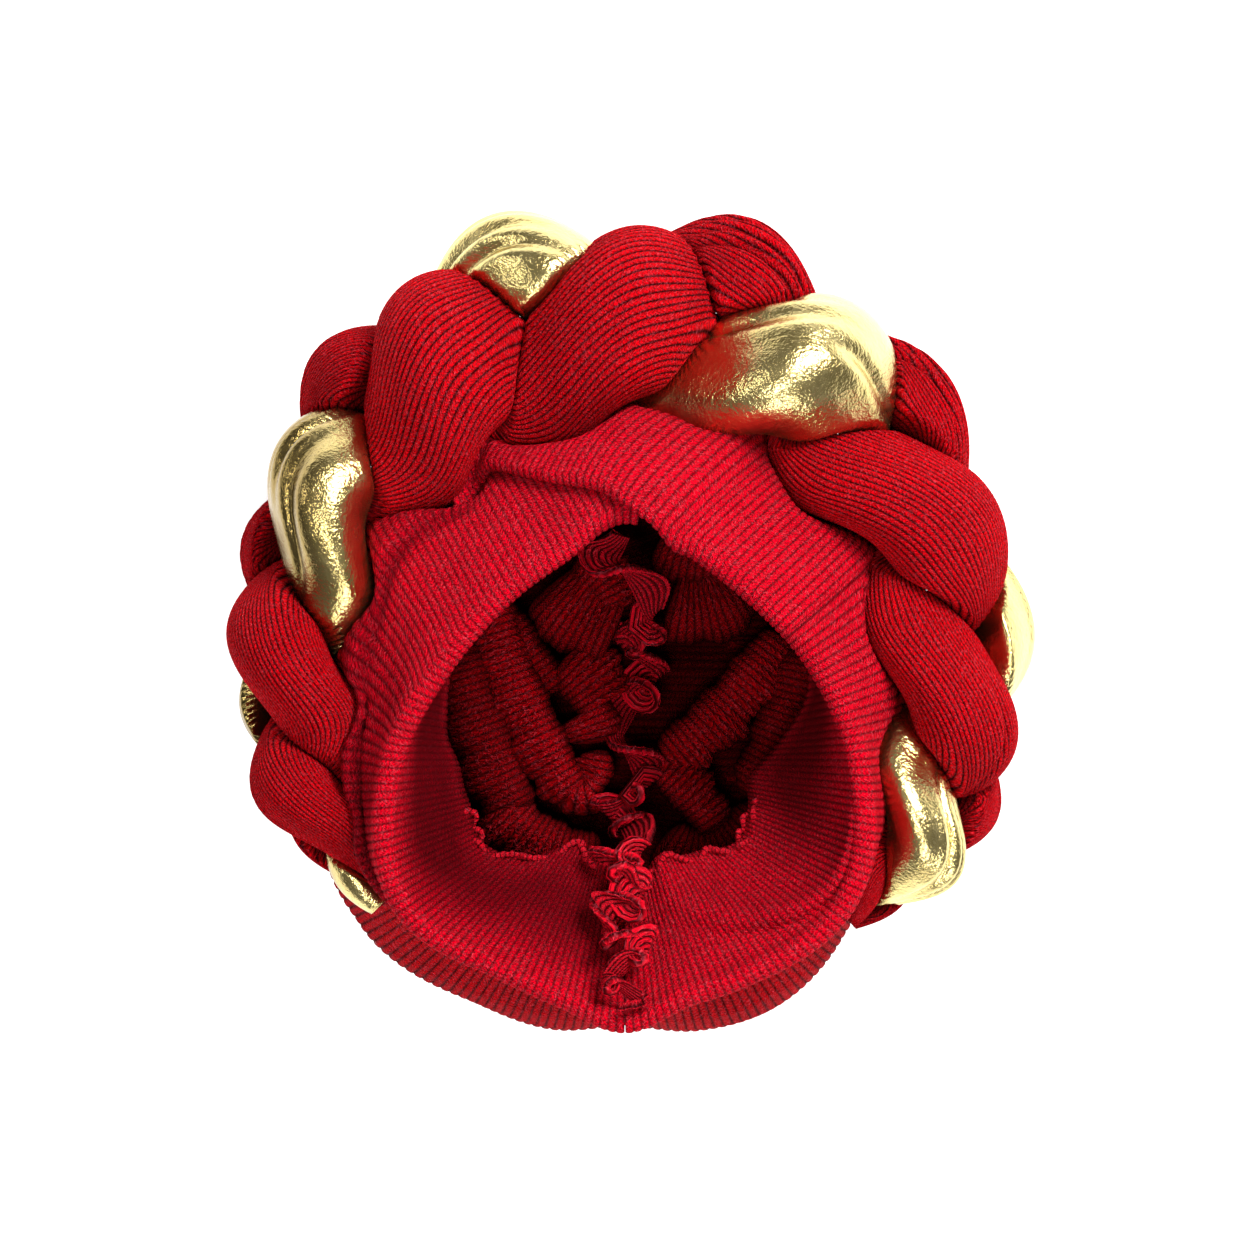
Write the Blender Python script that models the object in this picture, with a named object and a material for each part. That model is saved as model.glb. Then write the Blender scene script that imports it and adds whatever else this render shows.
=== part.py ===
"""A braided turban headwrap of red ribbed knit, with one strand of gold foil cloth in its braid.

It lies on its crown with the head opening up. The forehead faces +Y and the nape -Y.
Every bearing below is in degrees round the plan, counter-clockwise from +X, so 90 is the forehead
and 270 the nape. Table sizes are in millimetres and degrees, and meshes are in metres.
"""

import math
from collections import namedtuple

import bpy
import numpy as np
from mathutils import Vector
from mathutils.bvhtree import BVHTree

MM = 0.001

# Driving sizes, in millimetres.
HEAD_CENTRE = np.array([-2.5, -52.0])
RING_CENTRE = np.array([-1.4, -12.6])
KNIT = 2.5
CROWN_WALL = 2.2
FLATTENED = 0.5
CLEARANCE = 0.3
LEG_GAP = 0.8
STRAND_GAP = 4.8
PRESSED_GAP = 1.8
DEEPEST_PRESS = 12.0
LEG_OFFSET = CROWN_WALL / 2 + LEG_GAP + KNIT / 2
FLAT_OFFSET = KNIT / 2 + 0.2
OVERLAP_LIFT = LEG_OFFSET + KNIT + LEG_GAP + FLAT_OFFSET
TUCK_DEPTH = 11.0
CROSSING_TUCK = 16.0
COVERED_SKIRT = 0.75
CROSSING_MIDDLE = 87.0
CROSSING_SPREAD = 8.0
SEAM_FRONT = 84.0
SEAM_BACK = 50.0
SEAM_HEIGHT = 16.0
SEAM_NAPE_RISE = 62.0
SEAM_FRONT_RISE = 30.0
INNER_KNOT_SHARE = 0.4
WAIST_SHARES = (0.6, 0.8, 1.0)
KNEE_DROP = 7.0
MEETING_FACING = 8.0
FACING_GROWTH = 0.6
SHORTEST_SKIRT = 0.12

STEP = 6
BEARINGS = np.arange(-90, 270, STEP)
RING_PLACES = [0, 0.7, 1.4, 2.1, 2.8, 3.4, 4, 4.25, 4.5, 4.75, 5, 5.3, 5.65, 6, 6.5, 7, 7.5, 8]
FOOT = 6
STRAND_STATIONS = 79
STRAND_SIDES = 10

# The hem: where its folded edge runs, how the wall leaves it, and how far each leg of the fold goes.
# lean is the wall's angle outward from straight down, skirt the share of the wall that the outer leg
# covers, and facing_lean and facing_length place the inner leg.
Hem = namedtuple("Hem", "bearing reach height lean skirt facing_lean facing_length")
HEM = [
    Hem(-90, 85.0, 122, 0, 0.80, -55, 50),
    Hem(-75, 78.9, 124, 0, 0.80, -54, 53),
    Hem(-60, 79.9, 126, 2, 0.80, -53, 54),
    Hem(-30, 87.0, 128, 2, 0.80, -48, 50),
    Hem(0, 79.9, 129, 7, 0.72, -42, 52),
    Hem(30, 72.8, 130, 42, 0.85, 0, 26),
    Hem(60, 73.1, 131, 58, 0.90, 30, 18),
    Hem(75, 77.9, 131, 60, 0.90, 35, 16),
    Hem(90, 85.5, 131, 60, 0.90, 35, 8),
    Hem(105, 75.5, 130, 60, 0.90, 35, 16),
    Hem(120, 71.0, 129, 58, 0.90, 30, 18),
    Hem(150, 69.7, 128, 42, 0.85, 0, 26),
    Hem(180, 79.6, 127, 12, 0.80, -32, 38),
    Hem(210, 88.0, 126, 2, 0.80, -46, 49),
    Hem(240, 78.5, 124, 2, 0.80, -53, 54),
    Hem(255, 79.5, 123, 0, 0.80, -54, 53),
]

# The crown below the hem: the waist that the braid hugs, the belly and the foot that it lies on.
Crown = namedtuple(
    "Crown", "bearing bend waist_reach waist_height belly_reach belly_height foot_reach foot_height"
)
CROWN = [
    Crown(-90, 7, 80.0, 106, 87.0, 72, 76, 0),
    Crown(-75, 7, 75.0, 109, 91.5, 72, 80, 0),
    Crown(-60, 7, 74.0, 108, 97.0, 68, 82, 0),
    Crown(-30, 8, 79.0, 100, 95.0, 50, 80, 0),
    Crown(0, 10, 83.5, 94, 82.0, 45, 72, 0),
    Crown(30, 20, 100.0, 84, 96.0, 45, 82, 0),
    Crown(45, 25, 107.5, 81, 104.0, 43, 88, 0),
    Crown(60, 29, 112.0, 79, 109.0, 42, 92, 0),
    Crown(75, 31, 115.0, 78, 113.0, 42, 94, 0),
    Crown(90, 28, 113.0, 78, 112.0, 42, 95, 0),
    Crown(105, 30, 112.0, 78, 111.0, 42, 94, 0),
    Crown(120, 27, 110.0, 79, 108.0, 42, 90, 0),
    Crown(135, 25, 110.0, 81, 105.0, 43, 86, 0),
    Crown(150, 20, 103.0, 84, 96.0, 45, 80, 0),
    Crown(180, 10, 86.5, 96, 83.5, 44, 74, 0),
    Crown(195, 9, 83.0, 99, 97.0, 40, 82, 0),
    Crown(210, 8, 79.0, 100, 106.0, 43, 86, 0),
    Crown(240, 7, 74.0, 107, 95.0, 68, 82, 0),
    Crown(255, 7, 76.0, 108, 90.5, 72, 80, 0),
]

# The right wrap's edge where it crosses over the left one: how far outside the left edge it runs.
Crossing = namedtuple("Crossing", "bearing outward")
CROSSING = [
    Crossing(90, 3),
    Crossing(96, 14),
    Crossing(102, 22),
    Crossing(108, 30),
    Crossing(114, 36),
    Crossing(120, 40),
]

# Folds of the slack crown, as ridges between two points of the plan.
Fold = namedtuple("Fold", "x0 y0 x1 y1 height half_width")
FOLDS = [
    Fold(-58, 4, -16, -60, 34, 15),
    Fold(52, -8, 12, -50, 32, 15),
    Fold(-34, 22, 24, 20, 24, 14),
]

# The braid: plait counts the lobes along its inner side, reach and height place its centre line,
# and tilt turns its face from straight up to outwards.
Braid = namedtuple("Braid", "bearing plait reach height half_width half_depth tilt")
BRAID = [
    Braid(-50, -0.8, 118, 92, 6, 5, 80),
    Braid(-33, 0, 118, 84, 27, 17, 76),
    Braid(-9, 1, 115, 76, 35, 22, 70),
    Braid(26, 2, 115, 73, 38, 24, 64),
    Braid(61, 3, 117, 71, 40, 29, 52),
    Braid(93, 4, 118, 70, 41, 33, 48),
    Braid(126, 5, 119, 71, 40, 29, 58),
    Braid(158, 6, 119, 73, 36, 22, 74),
    Braid(184, 7, 118, 76, 34, 21, 82),
    Braid(206, 8, 119.5, 84, 26, 17, 86),
    Braid(226, 9, 120, 92, 6, 5, 88),
]
SWING = 0.40
CROSS_DEPTH = 0.42
STRAND_WIDTH = 0.62
STRAND_DEPTH = 0.64
BULGE = 0.14
CROWDING = 0.15
ROUNDING = 7.0
GOLD_PHASE = 240.0
GOLD_LOBE = 3

RUFFLE_WAVES = 9
RUFFLE_SWING = 6.0
RUFFLE_TALL = 9.0
RUFFLE_THICK = 2.4
RUFFLE_STATIONS = 64
RUFFLE_BACK = -134.0
RUFFLE_FRONT = 30.0

RED = (0.55, 0.004, 0.02, 1.0)
DEEP_RED = (0.42, 0.003, 0.014, 1.0)
GOLD = (0.78, 0.58, 0.22, 1.0)


def smooth(rows, name, at, closed=False):
    """Column name of a table at the bearings given, on a cubic curve through its rows."""
    x = np.array([row.bearing for row in rows], float)
    y = np.array([getattr(row, name) for row in rows], float)
    at = np.asarray(at, float)
    if closed:
        x = np.concatenate([x[-2:] - 360, x, x[:2] + 360])
        y = np.concatenate([y[-2:], y, y[:2]])
        at = (at + 90) % 360 - 90
    slope = np.gradient(y, x)
    i = np.clip(np.searchsorted(x, at, side="right") - 1, 0, len(x) - 2)
    width = x[i + 1] - x[i]
    t = np.clip((at - x[i]) / width, 0, 1)
    return (
        (1 + 2 * t) * (1 - t) ** 2 * y[i]
        + t * (1 - t) ** 2 * width * slope[i]
        + t * t * (3 - 2 * t) * y[i + 1]
        + t * t * (t - 1) * width * slope[i + 1]
    )


def through(knots, places):
    """Points of a cubic curve through the knots, at places that count from 0 at its first knot."""
    knots = np.array(knots, float)
    along = np.concatenate([[0], np.cumsum(np.linalg.norm(np.diff(knots, axis=0), axis=1))])
    slope = np.gradient(knots, along, axis=0)
    at = np.interp(places, np.arange(len(knots)), along)
    i = np.clip(np.searchsorted(along, at, side="right") - 1, 0, len(along) - 2)
    width = (along[i + 1] - along[i])[:, None]
    t = ((at - along[i]) / width[:, 0])[:, None]
    return (
        (1 + 2 * t) * (1 - t) ** 2 * knots[i]
        + t * (1 - t) ** 2 * width * slope[i]
        + t * t * (3 - 2 * t) * knots[i + 1]
        + t * t * (t - 1) * width * slope[i + 1]
    )


def side_of(path):
    """Unit normals of a path in the section plane, on the side that is outward where it runs down."""
    run = np.gradient(path, axis=0)
    run /= np.linalg.norm(run, axis=1)[:, None]
    return np.stack([-run[:, 1], run[:, 0]], axis=1)


def hem(bearing, name):
    return float(smooth(HEM, name, bearing, closed=True))


def crown(bearing, name):
    return float(smooth(CROWN, name, bearing, closed=True))


def wall_curve(bearing, share):
    """Points of the wall's middle line at the shares given, from the hem's fold (0) to the waist (1).

    It is a quadratic curve in the section plane: it leaves the fold along the lean and ends at the waist.
    """
    lean = math.radians(hem(bearing, "lean"))
    down = np.array([math.sin(lean), -math.cos(lean)])
    edge = np.array([hem(bearing, "reach"), hem(bearing, "height")])
    start = edge + down * (LEG_OFFSET + KNIT / 2)
    bend = start + down * crown(bearing, "bend")
    waist = np.array([crown(bearing, "waist_reach"), crown(bearing, "waist_height")])
    t = np.asarray(share, float)[..., None]
    return (1 - t) ** 2 * start + 2 * t * (1 - t) * bend + t * t * waist


def wall_frame(bearing, share):
    """(point, unit direction down the wall, unit outward normal) of the middle line at one share."""
    near = wall_curve(bearing, np.array([share - 0.01, share, share + 0.01]))
    run = near[2] - near[0]
    run /= np.linalg.norm(run)
    return near[1], run, np.array([-run[1], run[0]])


def in_space(bearing, section):
    """Section points (reach, height) at one bearing as points in space, in millimetres."""
    turn = math.radians(bearing)
    section = np.asarray(section)
    return np.stack(
        [
            HEAD_CENTRE[0] + section[:, 0] * math.cos(turn),
            HEAD_CENTRE[1] + section[:, 0] * math.sin(turn),
            section[:, 1],
        ],
        axis=1,
    )


def seam_point(bearing):
    """Where the gathered centre seam is met at one bearing: it rises to the nape and the forehead."""
    lengthwise = math.sin(math.radians(bearing))
    along = lengthwise * (SEAM_FRONT if lengthwise > 0 else SEAM_BACK)
    height = SEAM_HEIGHT + SEAM_NAPE_RISE * max(0.0, -lengthwise) ** 2
    height += SEAM_FRONT_RISE * max(0.0, lengthwise) ** 4
    return np.array([HEAD_CENTRE[0], HEAD_CENTRE[1] + along, height])


def add_mesh(name, points, faces, colour, roughness, metallic=0.0):
    """A named object with its own material from points in millimetres."""
    mesh = bpy.data.meshes.new(name)
    mesh.from_pydata([tuple(p) for p in np.asarray(points) * MM], [], faces)
    mesh.validate()
    mesh.update()
    mesh.shade_smooth()
    mesh.set_sharp_from_angle(angle=math.radians(50))
    material = bpy.data.materials.new(name)
    material.use_nodes = True
    shader = material.node_tree.nodes["Principled BSDF"]
    shader.inputs["Base Color"].default_value = colour
    shader.inputs["Roughness"].default_value = roughness
    shader.inputs["Metallic"].default_value = metallic
    mesh.materials.append(material)
    obj = bpy.data.objects.new(name, mesh)
    bpy.context.scene.collection.objects.link(obj)
    return obj


def grid_faces(rows, columns, closed, first=0):
    """Quads of a grid of rows x columns points, whose columns close into loops if asked."""
    faces = []
    for row in range(rows - 1):
        for column in range(columns if closed else columns - 1):
            after = (column + 1) % columns
            a = first + row * columns + column
            b = first + row * columns + after
            faces.append((a, b, b + columns, a + columns))
    return faces


def fold_lift(points):
    """How far the folds push each point of the crown inward: bell-shaped ridges along the rows of FOLDS."""
    lift = np.zeros(len(points))
    for fold in FOLDS:
        start = np.array([fold.x0, fold.y0], float)
        run = np.array([fold.x1 - fold.x0, fold.y1 - fold.y0], float)
        share = np.clip(((points[:, :2] - start) @ run) / (run @ run), 0, 1)
        away = np.linalg.norm(points[:, :2] - start - share[:, None] * run, axis=1)
        lift = np.maximum(lift, fold.height * np.exp(-((away / fold.half_width) ** 2)))
    return lift


def crown_rings():
    """Rings of the crown's wall, before its folds, from the tucked edge down to the centre seam."""
    columns = []
    for bearing in BEARINGS:
        length = np.linalg.norm(np.diff(wall_curve(bearing, np.linspace(0, 1, 20)), axis=0), axis=1).sum()
        crossed = CROSSING_TUCK * math.exp(-(((bearing - CROSSING_MIDDLE) / CROSSING_SPREAD) ** 2))
        tuck = (TUCK_DEPTH + crossed) / length
        upper = wall_curve(bearing, np.array([tuck, (tuck + WAIST_SHARES[0]) / 2, *WAIST_SHARES]))
        belly = (crown(bearing, "belly_reach"), crown(bearing, "belly_height"))
        foot = (crown(bearing, "foot_reach"), crown(bearing, "foot_height"))
        knots = [*in_space(bearing, [*upper, belly, foot])]
        seam = seam_point(bearing)
        inner = knots[-1] * (1 - INNER_KNOT_SHARE) + seam * INNER_KNOT_SHARE
        inner[2] = 0
        knots += [inner, seam]
        column = through(knots, RING_PLACES)
        column[:, 2] = np.where(column[:, 2] < CROWN_WALL / 2, CROWN_WALL / 2, column[:, 2])
        columns.append(column)
    return np.stack(columns, axis=1)


def vertex_normals(rings):
    """Normals of a grid of rings, pointing into the hollow, with the seam's own smoothed across it."""
    around = np.roll(rings, -1, axis=1) - np.roll(rings, 1, axis=1)
    down = np.gradient(rings, axis=0)
    normal = np.cross(around, down)
    mirror = (len(BEARINGS) - np.arange(len(BEARINGS))) % len(BEARINGS)
    normal[-1] = normal[-1] + normal[-1][mirror] + normal[-2] + normal[-2][mirror]
    return normal / np.maximum(np.linalg.norm(normal, axis=2), 1e-9)[..., None]


def pressed(points, others, room):
    """Points moved straight off other pieces wherever they are inside them or closer than room."""
    graph = bpy.context.evaluated_depsgraph_get()
    trees = [BVHTree.FromObject(obj, graph) for obj in others]
    moved = []
    for point in points:
        for tree in trees:
            near, normal, _, _ = tree.find_nearest(Vector(point) * MM)
            offset = point - np.array(near) / MM
            distance = np.linalg.norm(offset) * (1 if offset @ np.array(normal) > 0 else -1)
            if room - DEEPEST_PRESS < distance < room and abs(distance) > 1e-3:
                point = point + offset / distance * (room - distance)
        moved.append(point)
    return np.array(moved)


def build_crown(strands, wraps):
    """The crown: a hollow cap of one knit wall, gathered along the centre seam and folded inside."""
    rings = crown_rings()
    side = np.array(RING_PLACES) < FOOT - 0.5
    held = rings[side].reshape(-1, 3)
    for _ in range(2):
        held = pressed(held, strands, CROWN_WALL / 2 + 1.5 * PRESSED_GAP)
        held = pressed(held, wraps, CROWN_WALL / 2 + 1.5 * CLEARANCE)
    rings[side] = held.reshape(rings[side].shape)
    shape = rings.shape
    inward = vertex_normals(rings)
    free = np.clip(np.array(RING_PLACES) - FOOT, 0, 1)[:, None]
    lift = fold_lift(rings.reshape(-1, 3)).reshape(shape[:2]) * free * (2 - free)
    middle = rings + inward * lift[..., None]
    inward = vertex_normals(middle)
    outer = middle - inward * CROWN_WALL / 2
    outer[..., 2] = np.where(outer[..., 2] < FLATTENED, 0, outer[..., 2])
    inner = middle + inward * CROWN_WALL / 2
    count = len(BEARINGS)
    half = count // 2

    def surface(grid, first):
        """(points, faces) of one face of the wall, whose last ring closes side to side on the seam."""
        seam = np.array([(grid[-1][i] + grid[-1][(count - i) % count]) / 2 for i in range(half + 1)])
        points = np.concatenate([grid[:-1].reshape(-1, 3), seam])
        last = (shape[0] - 2) * count
        faces = grid_faces(shape[0] - 1, count, True, first)
        for column in range(count):
            after = (column + 1) % count
            seam_a = (shape[0] - 1) * count + min(column, count - column)
            seam_b = (shape[0] - 1) * count + min(after, count - after) * (after > 0)
            quad = [last + column, last + after, seam_b, seam_a]
            faces.append(tuple(first + v for v in dict.fromkeys(quad)))
        return points, faces

    outer_points, outer_faces = surface(outer, 0)
    inner_points, inner_faces = surface(inner, len(outer_points))
    edge = [
        (i, (i + 1) % count, len(outer_points) + (i + 1) % count, len(outer_points) + i)
        for i in range(count)
    ]
    faces = [f[::-1] for f in outer_faces] + inner_faces + edge
    return add_mesh("crown", np.concatenate([outer_points, inner_points]), faces, DEEP_RED, 0.8)


def thickened(path, thickness):
    """A closed outline of the given thickness round a path in the section plane, from end to end and back."""
    side = side_of(path) * thickness / 2
    return np.concatenate([path + side, (path - side)[::-1]])


def hairpin(bearing, skirt, edge_share, lift, radius, facing_length):
    """Middle line of a folded band at one bearing: up the outer leg, over the fold and down the inner leg."""
    skirt = max(skirt, edge_share + SHORTEST_SKIRT)
    outer = []
    for share in np.linspace(skirt, edge_share, 4)[:-1]:
        point, _, normal = wall_frame(bearing, share)
        outer.append(point + normal * (lift + radius))
    point, down, normal = wall_frame(bearing, edge_share)
    centre = point + normal * lift
    fold = [
        centre + radius * (math.cos(turn) * normal - math.sin(turn) * down)
        for turn in np.linspace(0, math.pi, 4)
    ]
    lean = math.radians(hem(bearing, "facing_lean"))
    end = fold[-1] + facing_length * np.array([math.sin(lean), -math.cos(lean)])
    if lift:
        end = fold[-1] + facing_length * down
    bend = fold[-1] + down * min(KNEE_DROP, facing_length / 2)
    inner = [(1 - t) ** 2 * fold[-1] + 2 * t * (1 - t) * bend + t * t * end for t in (0.4, 1.0)]
    return np.array(outer + fold + inner)


def build_wrap(name, sections):
    """A folded band from its middle lines, one for each (bearing, path, pressing pieces)."""
    loops = []
    for bearing, path, others in sections:
        middle = in_space(bearing, path)
        shift = pressed(middle, others, KNIT / 2 + 1.15 * PRESSED_GAP) - middle
        loops.append(in_space(bearing, thickened(path, KNIT)) + np.concatenate([shift, shift[::-1]]))
    around = len(loops[0])
    half = around // 2
    faces = grid_faces(len(loops), around, True)
    last = (len(loops) - 1) * around
    for i in range(half - 1):
        strip = (i, i + 1, around - 2 - i, around - 1 - i)
        faces.append(strip[::-1])
        faces.append(tuple(last + v for v in strip))
    return add_mesh(name, np.concatenate(loops), faces, RED, 0.75)


def build_wraps(strands):
    """The two forehead wraps: folded bands sewn at the nape, the right one crossing over the left."""
    nape_gap = math.degrees(CLEARANCE / hem(-90, "reach"))
    right_sections = []
    for row in reversed(CROSSING):
        shares = np.linspace(0, 0.8, 200)
        reach = wall_curve(row.bearing, shares)[:, 0]
        share = float(np.interp(hem(row.bearing, "reach") + row.outward, reach, shares))
        path = hairpin(row.bearing, hem(row.bearing, "skirt"), share, OVERLAP_LIFT, FLAT_OFFSET, KNEE_DROP)
        right_sections.append((row.bearing, path, strands))
    for bearing in [*range(90 - STEP, -90, -STEP), -90 + nape_gap]:
        growth = MEETING_FACING + FACING_GROWTH * (90 - STEP - bearing)
        length = min(hem(bearing, "facing_length"), growth)
        path = hairpin(bearing, hem(bearing, "skirt"), 0.0, 0.0, LEG_OFFSET, length)
        right_sections.append((bearing, path, strands))
    right_wrap = build_wrap("right_wrap", right_sections[::-1])

    bearings = [90, *range(90 + STEP, 270, STEP), 270 - nape_gap]
    left_sections = []
    for bearing in bearings:
        crossed = bearing < CROSSING[-1].bearing
        skirt = hem(bearing, "skirt") * (COVERED_SKIRT if crossed else 1)
        path = hairpin(bearing, skirt, 0.0, 0.0, LEG_OFFSET, hem(bearing, "facing_length"))
        left_sections.append((bearing, path, strands + [right_wrap] * crossed))
    return [build_wrap("left_wrap", left_sections), right_wrap]


def strand_sections(order):
    """Rings of one strand of the braid, from the nape's right end round the forehead to its left end.

    The three strands swing side to side and weave up and down, a third of a turn apart. Each fills an
    oval round its own centre, fuller where it is raised, cut back by lines between it and its neighbours.
    """
    bearings = np.linspace(BRAID[0].bearing, BRAID[-1].bearing, STRAND_STATIONS)
    plait = smooth(BRAID, "plait", bearings)
    half_width = smooth(BRAID, "half_width", bearings)
    half_depth = smooth(BRAID, "half_depth", bearings)
    tilt = np.radians(smooth(BRAID, "tilt", bearings))
    centres = []
    raised = []
    for strand in range(3):
        phase = np.radians(GOLD_PHASE + 120 * (plait - GOLD_LOBE - strand))
        centres.append(
            np.stack(
                [
                    SWING * half_width * np.sin(phase),
                    CROSS_DEPTH * half_depth * np.sin(2 * phase),
                ],
                axis=1,
            )
        )
        raised.append(np.cos(tilt) * np.sin(2 * phase) - np.sin(tilt) * np.sin(phase))
    own = centres[order]
    around = np.radians(np.arange(STRAND_SIDES) * 360 / STRAND_SIDES)
    spoke = np.stack([np.cos(around), np.sin(around)], axis=1)
    swell = 1 + BULGE * raised[order]
    wide = (STRAND_WIDTH * half_width * swell)[:, None]
    deep = (STRAND_DEPTH * half_depth * swell)[:, None]
    inverse = ((spoke[:, 0] / wide) ** 2 + (spoke[:, 1] / deep) ** 2) ** (ROUNDING / 2)
    for strand in range(3):
        if strand == order:
            continue
        apart = centres[strand] - own
        distance = np.linalg.norm(apart, axis=1)
        facing = np.maximum((apart / distance[:, None]) @ spoke.T, 0)
        share = 0.5 + CROWDING * (raised[order] - raised[strand])
        room = np.maximum(distance * share - STRAND_GAP / 2, 0.3)[:, None]
        inverse = inverse + (facing / room) ** ROUNDING
    radius = inverse ** (-1 / ROUNDING)
    across = own[:, :1] + radius * spoke[:, 0]
    up = own[:, 1:] + radius * spoke[:, 1]
    turn = np.radians(bearings)[:, None]
    tilt = tilt[:, None]
    out = smooth(BRAID, "reach", bearings)[:, None] + across * np.cos(tilt) + up * np.sin(tilt)
    height = smooth(BRAID, "height", bearings)[:, None] - across * np.sin(tilt) + up * np.cos(tilt)
    return np.stack(
        [
            RING_CENTRE[0] + out * np.cos(turn),
            RING_CENTRE[1] + out * np.sin(turn),
            height,
        ],
        axis=2,
    )


def build_strand(name, order, colour, roughness, metallic=0.0):
    """One stuffed strand of the braid, closed at both ends."""
    rings = strand_sections(order)
    points = np.concatenate([rings.reshape(-1, 3), [rings[0].mean(axis=0), rings[-1].mean(axis=0)]])
    faces = [f[::-1] for f in grid_faces(STRAND_STATIONS, STRAND_SIDES, True)]
    last = (STRAND_STATIONS - 1) * STRAND_SIDES
    start_pole = STRAND_STATIONS * STRAND_SIDES
    for i in range(STRAND_SIDES):
        after = (i + 1) % STRAND_SIDES
        faces.append((i, after, start_pole))
        faces.append((last + after, last + i, start_pole + 1))
    return add_mesh(name, points, faces, colour, roughness, metallic)


def build_ruffle(under):
    """The gathered allowance of the centre seam: a wavy strip of knit that stands on what lies under it."""
    graph = bpy.context.evaluated_depsgraph_get()
    trees = [BVHTree.FromObject(obj, graph) for obj in under]
    along = np.linspace(RUFFLE_BACK, RUFFLE_FRONT, RUFFLE_STATIONS)
    sway = RUFFLE_SWING * np.sin(np.linspace(0, 2 * math.pi * RUFFLE_WAVES, RUFFLE_STATIONS))
    base = []
    for y in along:
        heights = []
        for x in np.linspace(-RUFFLE_SWING - RUFFLE_THICK, RUFFLE_SWING + RUFFLE_THICK, 9):
            for tree in trees:
                start = Vector(((HEAD_CENTRE[0] + x) * MM, y * MM, 0.125))
                hit = tree.ray_cast(start, Vector((0, 0, -1)))[0]
                if hit:
                    heights.append(hit.z / MM)
        base.append(max(heights))
    base = np.array(base)
    base = np.array([base[max(0, i - 3) : i + 4].max() for i in range(len(base))]) + CLEARANCE + 0.2
    rings = []
    run = np.gradient(np.stack([sway, along], axis=1), axis=0)
    run /= np.linalg.norm(run, axis=1)[:, None]
    side = np.stack([run[:, 1], -run[:, 0]], axis=1) * RUFFLE_THICK / 2
    for i, y in enumerate(along):
        x = HEAD_CENTRE[0] + sway[i]
        low, high = base[i], base[i] + RUFFLE_TALL
        rings += [
            (x - side[i, 0], y - side[i, 1], low),
            (x + side[i, 0], y + side[i, 1], low),
            (x + side[i, 0], y + side[i, 1], high),
            (x - side[i, 0], y - side[i, 1], high),
        ]
    faces = [f[::-1] for f in grid_faces(RUFFLE_STATIONS, 4, True)]
    last = (RUFFLE_STATIONS - 1) * 4
    faces += [(0, 1, 2, 3), (last + 3, last + 2, last + 1, last)]
    return add_mesh("centre_seam_ruffle", rings, faces, DEEP_RED, 0.8)


def main():
    for obj in list(bpy.data.objects):
        bpy.data.objects.remove(obj)
    strands = [
        build_strand("gold_strand", 0, GOLD, 0.3, 1.0),
        build_strand("first_red_strand", 1, RED, 0.75),
        build_strand("second_red_strand", 2, RED, 0.75),
    ]
    wraps = build_wraps(strands)
    build_ruffle([build_crown(strands, wraps), *wraps])


main()
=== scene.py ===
"""A braided turban headwrap of red ribbed knit, with one strand of gold foil cloth in its braid.

It lies on its crown with the head opening up. The forehead faces +Y and the nape -Y. Bearings are in
degrees round the plan, counter-clockwise from +X, so 90 is the forehead and 270 the nape. Sizes are
in millimetres and degrees, and meshes are in metres.
"""

from collections import namedtuple

import bpy
import numpy as np
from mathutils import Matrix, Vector


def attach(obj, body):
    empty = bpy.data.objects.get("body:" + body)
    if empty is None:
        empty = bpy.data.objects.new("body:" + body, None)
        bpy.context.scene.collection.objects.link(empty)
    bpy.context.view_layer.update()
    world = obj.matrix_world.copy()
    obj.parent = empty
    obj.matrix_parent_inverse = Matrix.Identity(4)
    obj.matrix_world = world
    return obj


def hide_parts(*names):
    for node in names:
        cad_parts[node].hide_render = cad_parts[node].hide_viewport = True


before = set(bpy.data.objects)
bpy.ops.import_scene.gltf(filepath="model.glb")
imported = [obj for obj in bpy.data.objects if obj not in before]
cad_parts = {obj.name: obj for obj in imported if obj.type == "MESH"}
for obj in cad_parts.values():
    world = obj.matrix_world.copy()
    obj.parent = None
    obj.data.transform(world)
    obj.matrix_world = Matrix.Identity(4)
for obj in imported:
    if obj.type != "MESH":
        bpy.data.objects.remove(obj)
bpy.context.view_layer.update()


# The braid. Three strands of cloth, two of red ribbed knit and one of gold foil cloth, are plaited round
# the cap from ear to ear over the forehead. Each is a soft stuffed tube about 50 mm wide, pressed flat
# against its neighbours, and its ends are sewn down at the nape.

MM = 0.001
RING_CENTRE = (-1.4, -12.6)
Braid = namedtuple("Braid", "bearing plait reach height half_width half_depth tilt")
BRAID = [
    Braid(-50, -0.8, 118, 92, 6, 5, 80),
    Braid(-33, 0, 118, 84, 27, 17, 76),
    Braid(-9, 1, 114, 76, 35, 22, 70),
    Braid(26, 2, 113.5, 73, 38, 24, 64),
    Braid(61, 3, 117, 71, 40, 29, 52),
    Braid(93, 4, 117.5, 70, 41, 33, 48),
    Braid(125, 5, 118, 71, 44, 31, 56),
    Braid(153, 6, 117.5, 73, 36, 22, 74),
    Braid(179, 7, 115.5, 76, 34, 21, 82),
    Braid(203, 8, 117.5, 84, 26, 17, 86),
    Braid(225, 9, 120, 92, 6, 5, 88),
]
SWING = 0.40
CROSS_DEPTH = 0.42
STRAND_WIDTH = 0.67
STRAND_DEPTH = 0.69
BULGE = 0.20
CROWDING = 0.30
ROUNDING = 13.0
GOLD_PHASE = 240.0
GOLD_LOBE = 3
STRAND_GAP = 0.6
STRAND_STATIONS = 290
RED_RIBS = 58
RIB_SAMPLES = 5
RIB_HEIGHT = 0.6
GOLD_SIDES = 240

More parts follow.
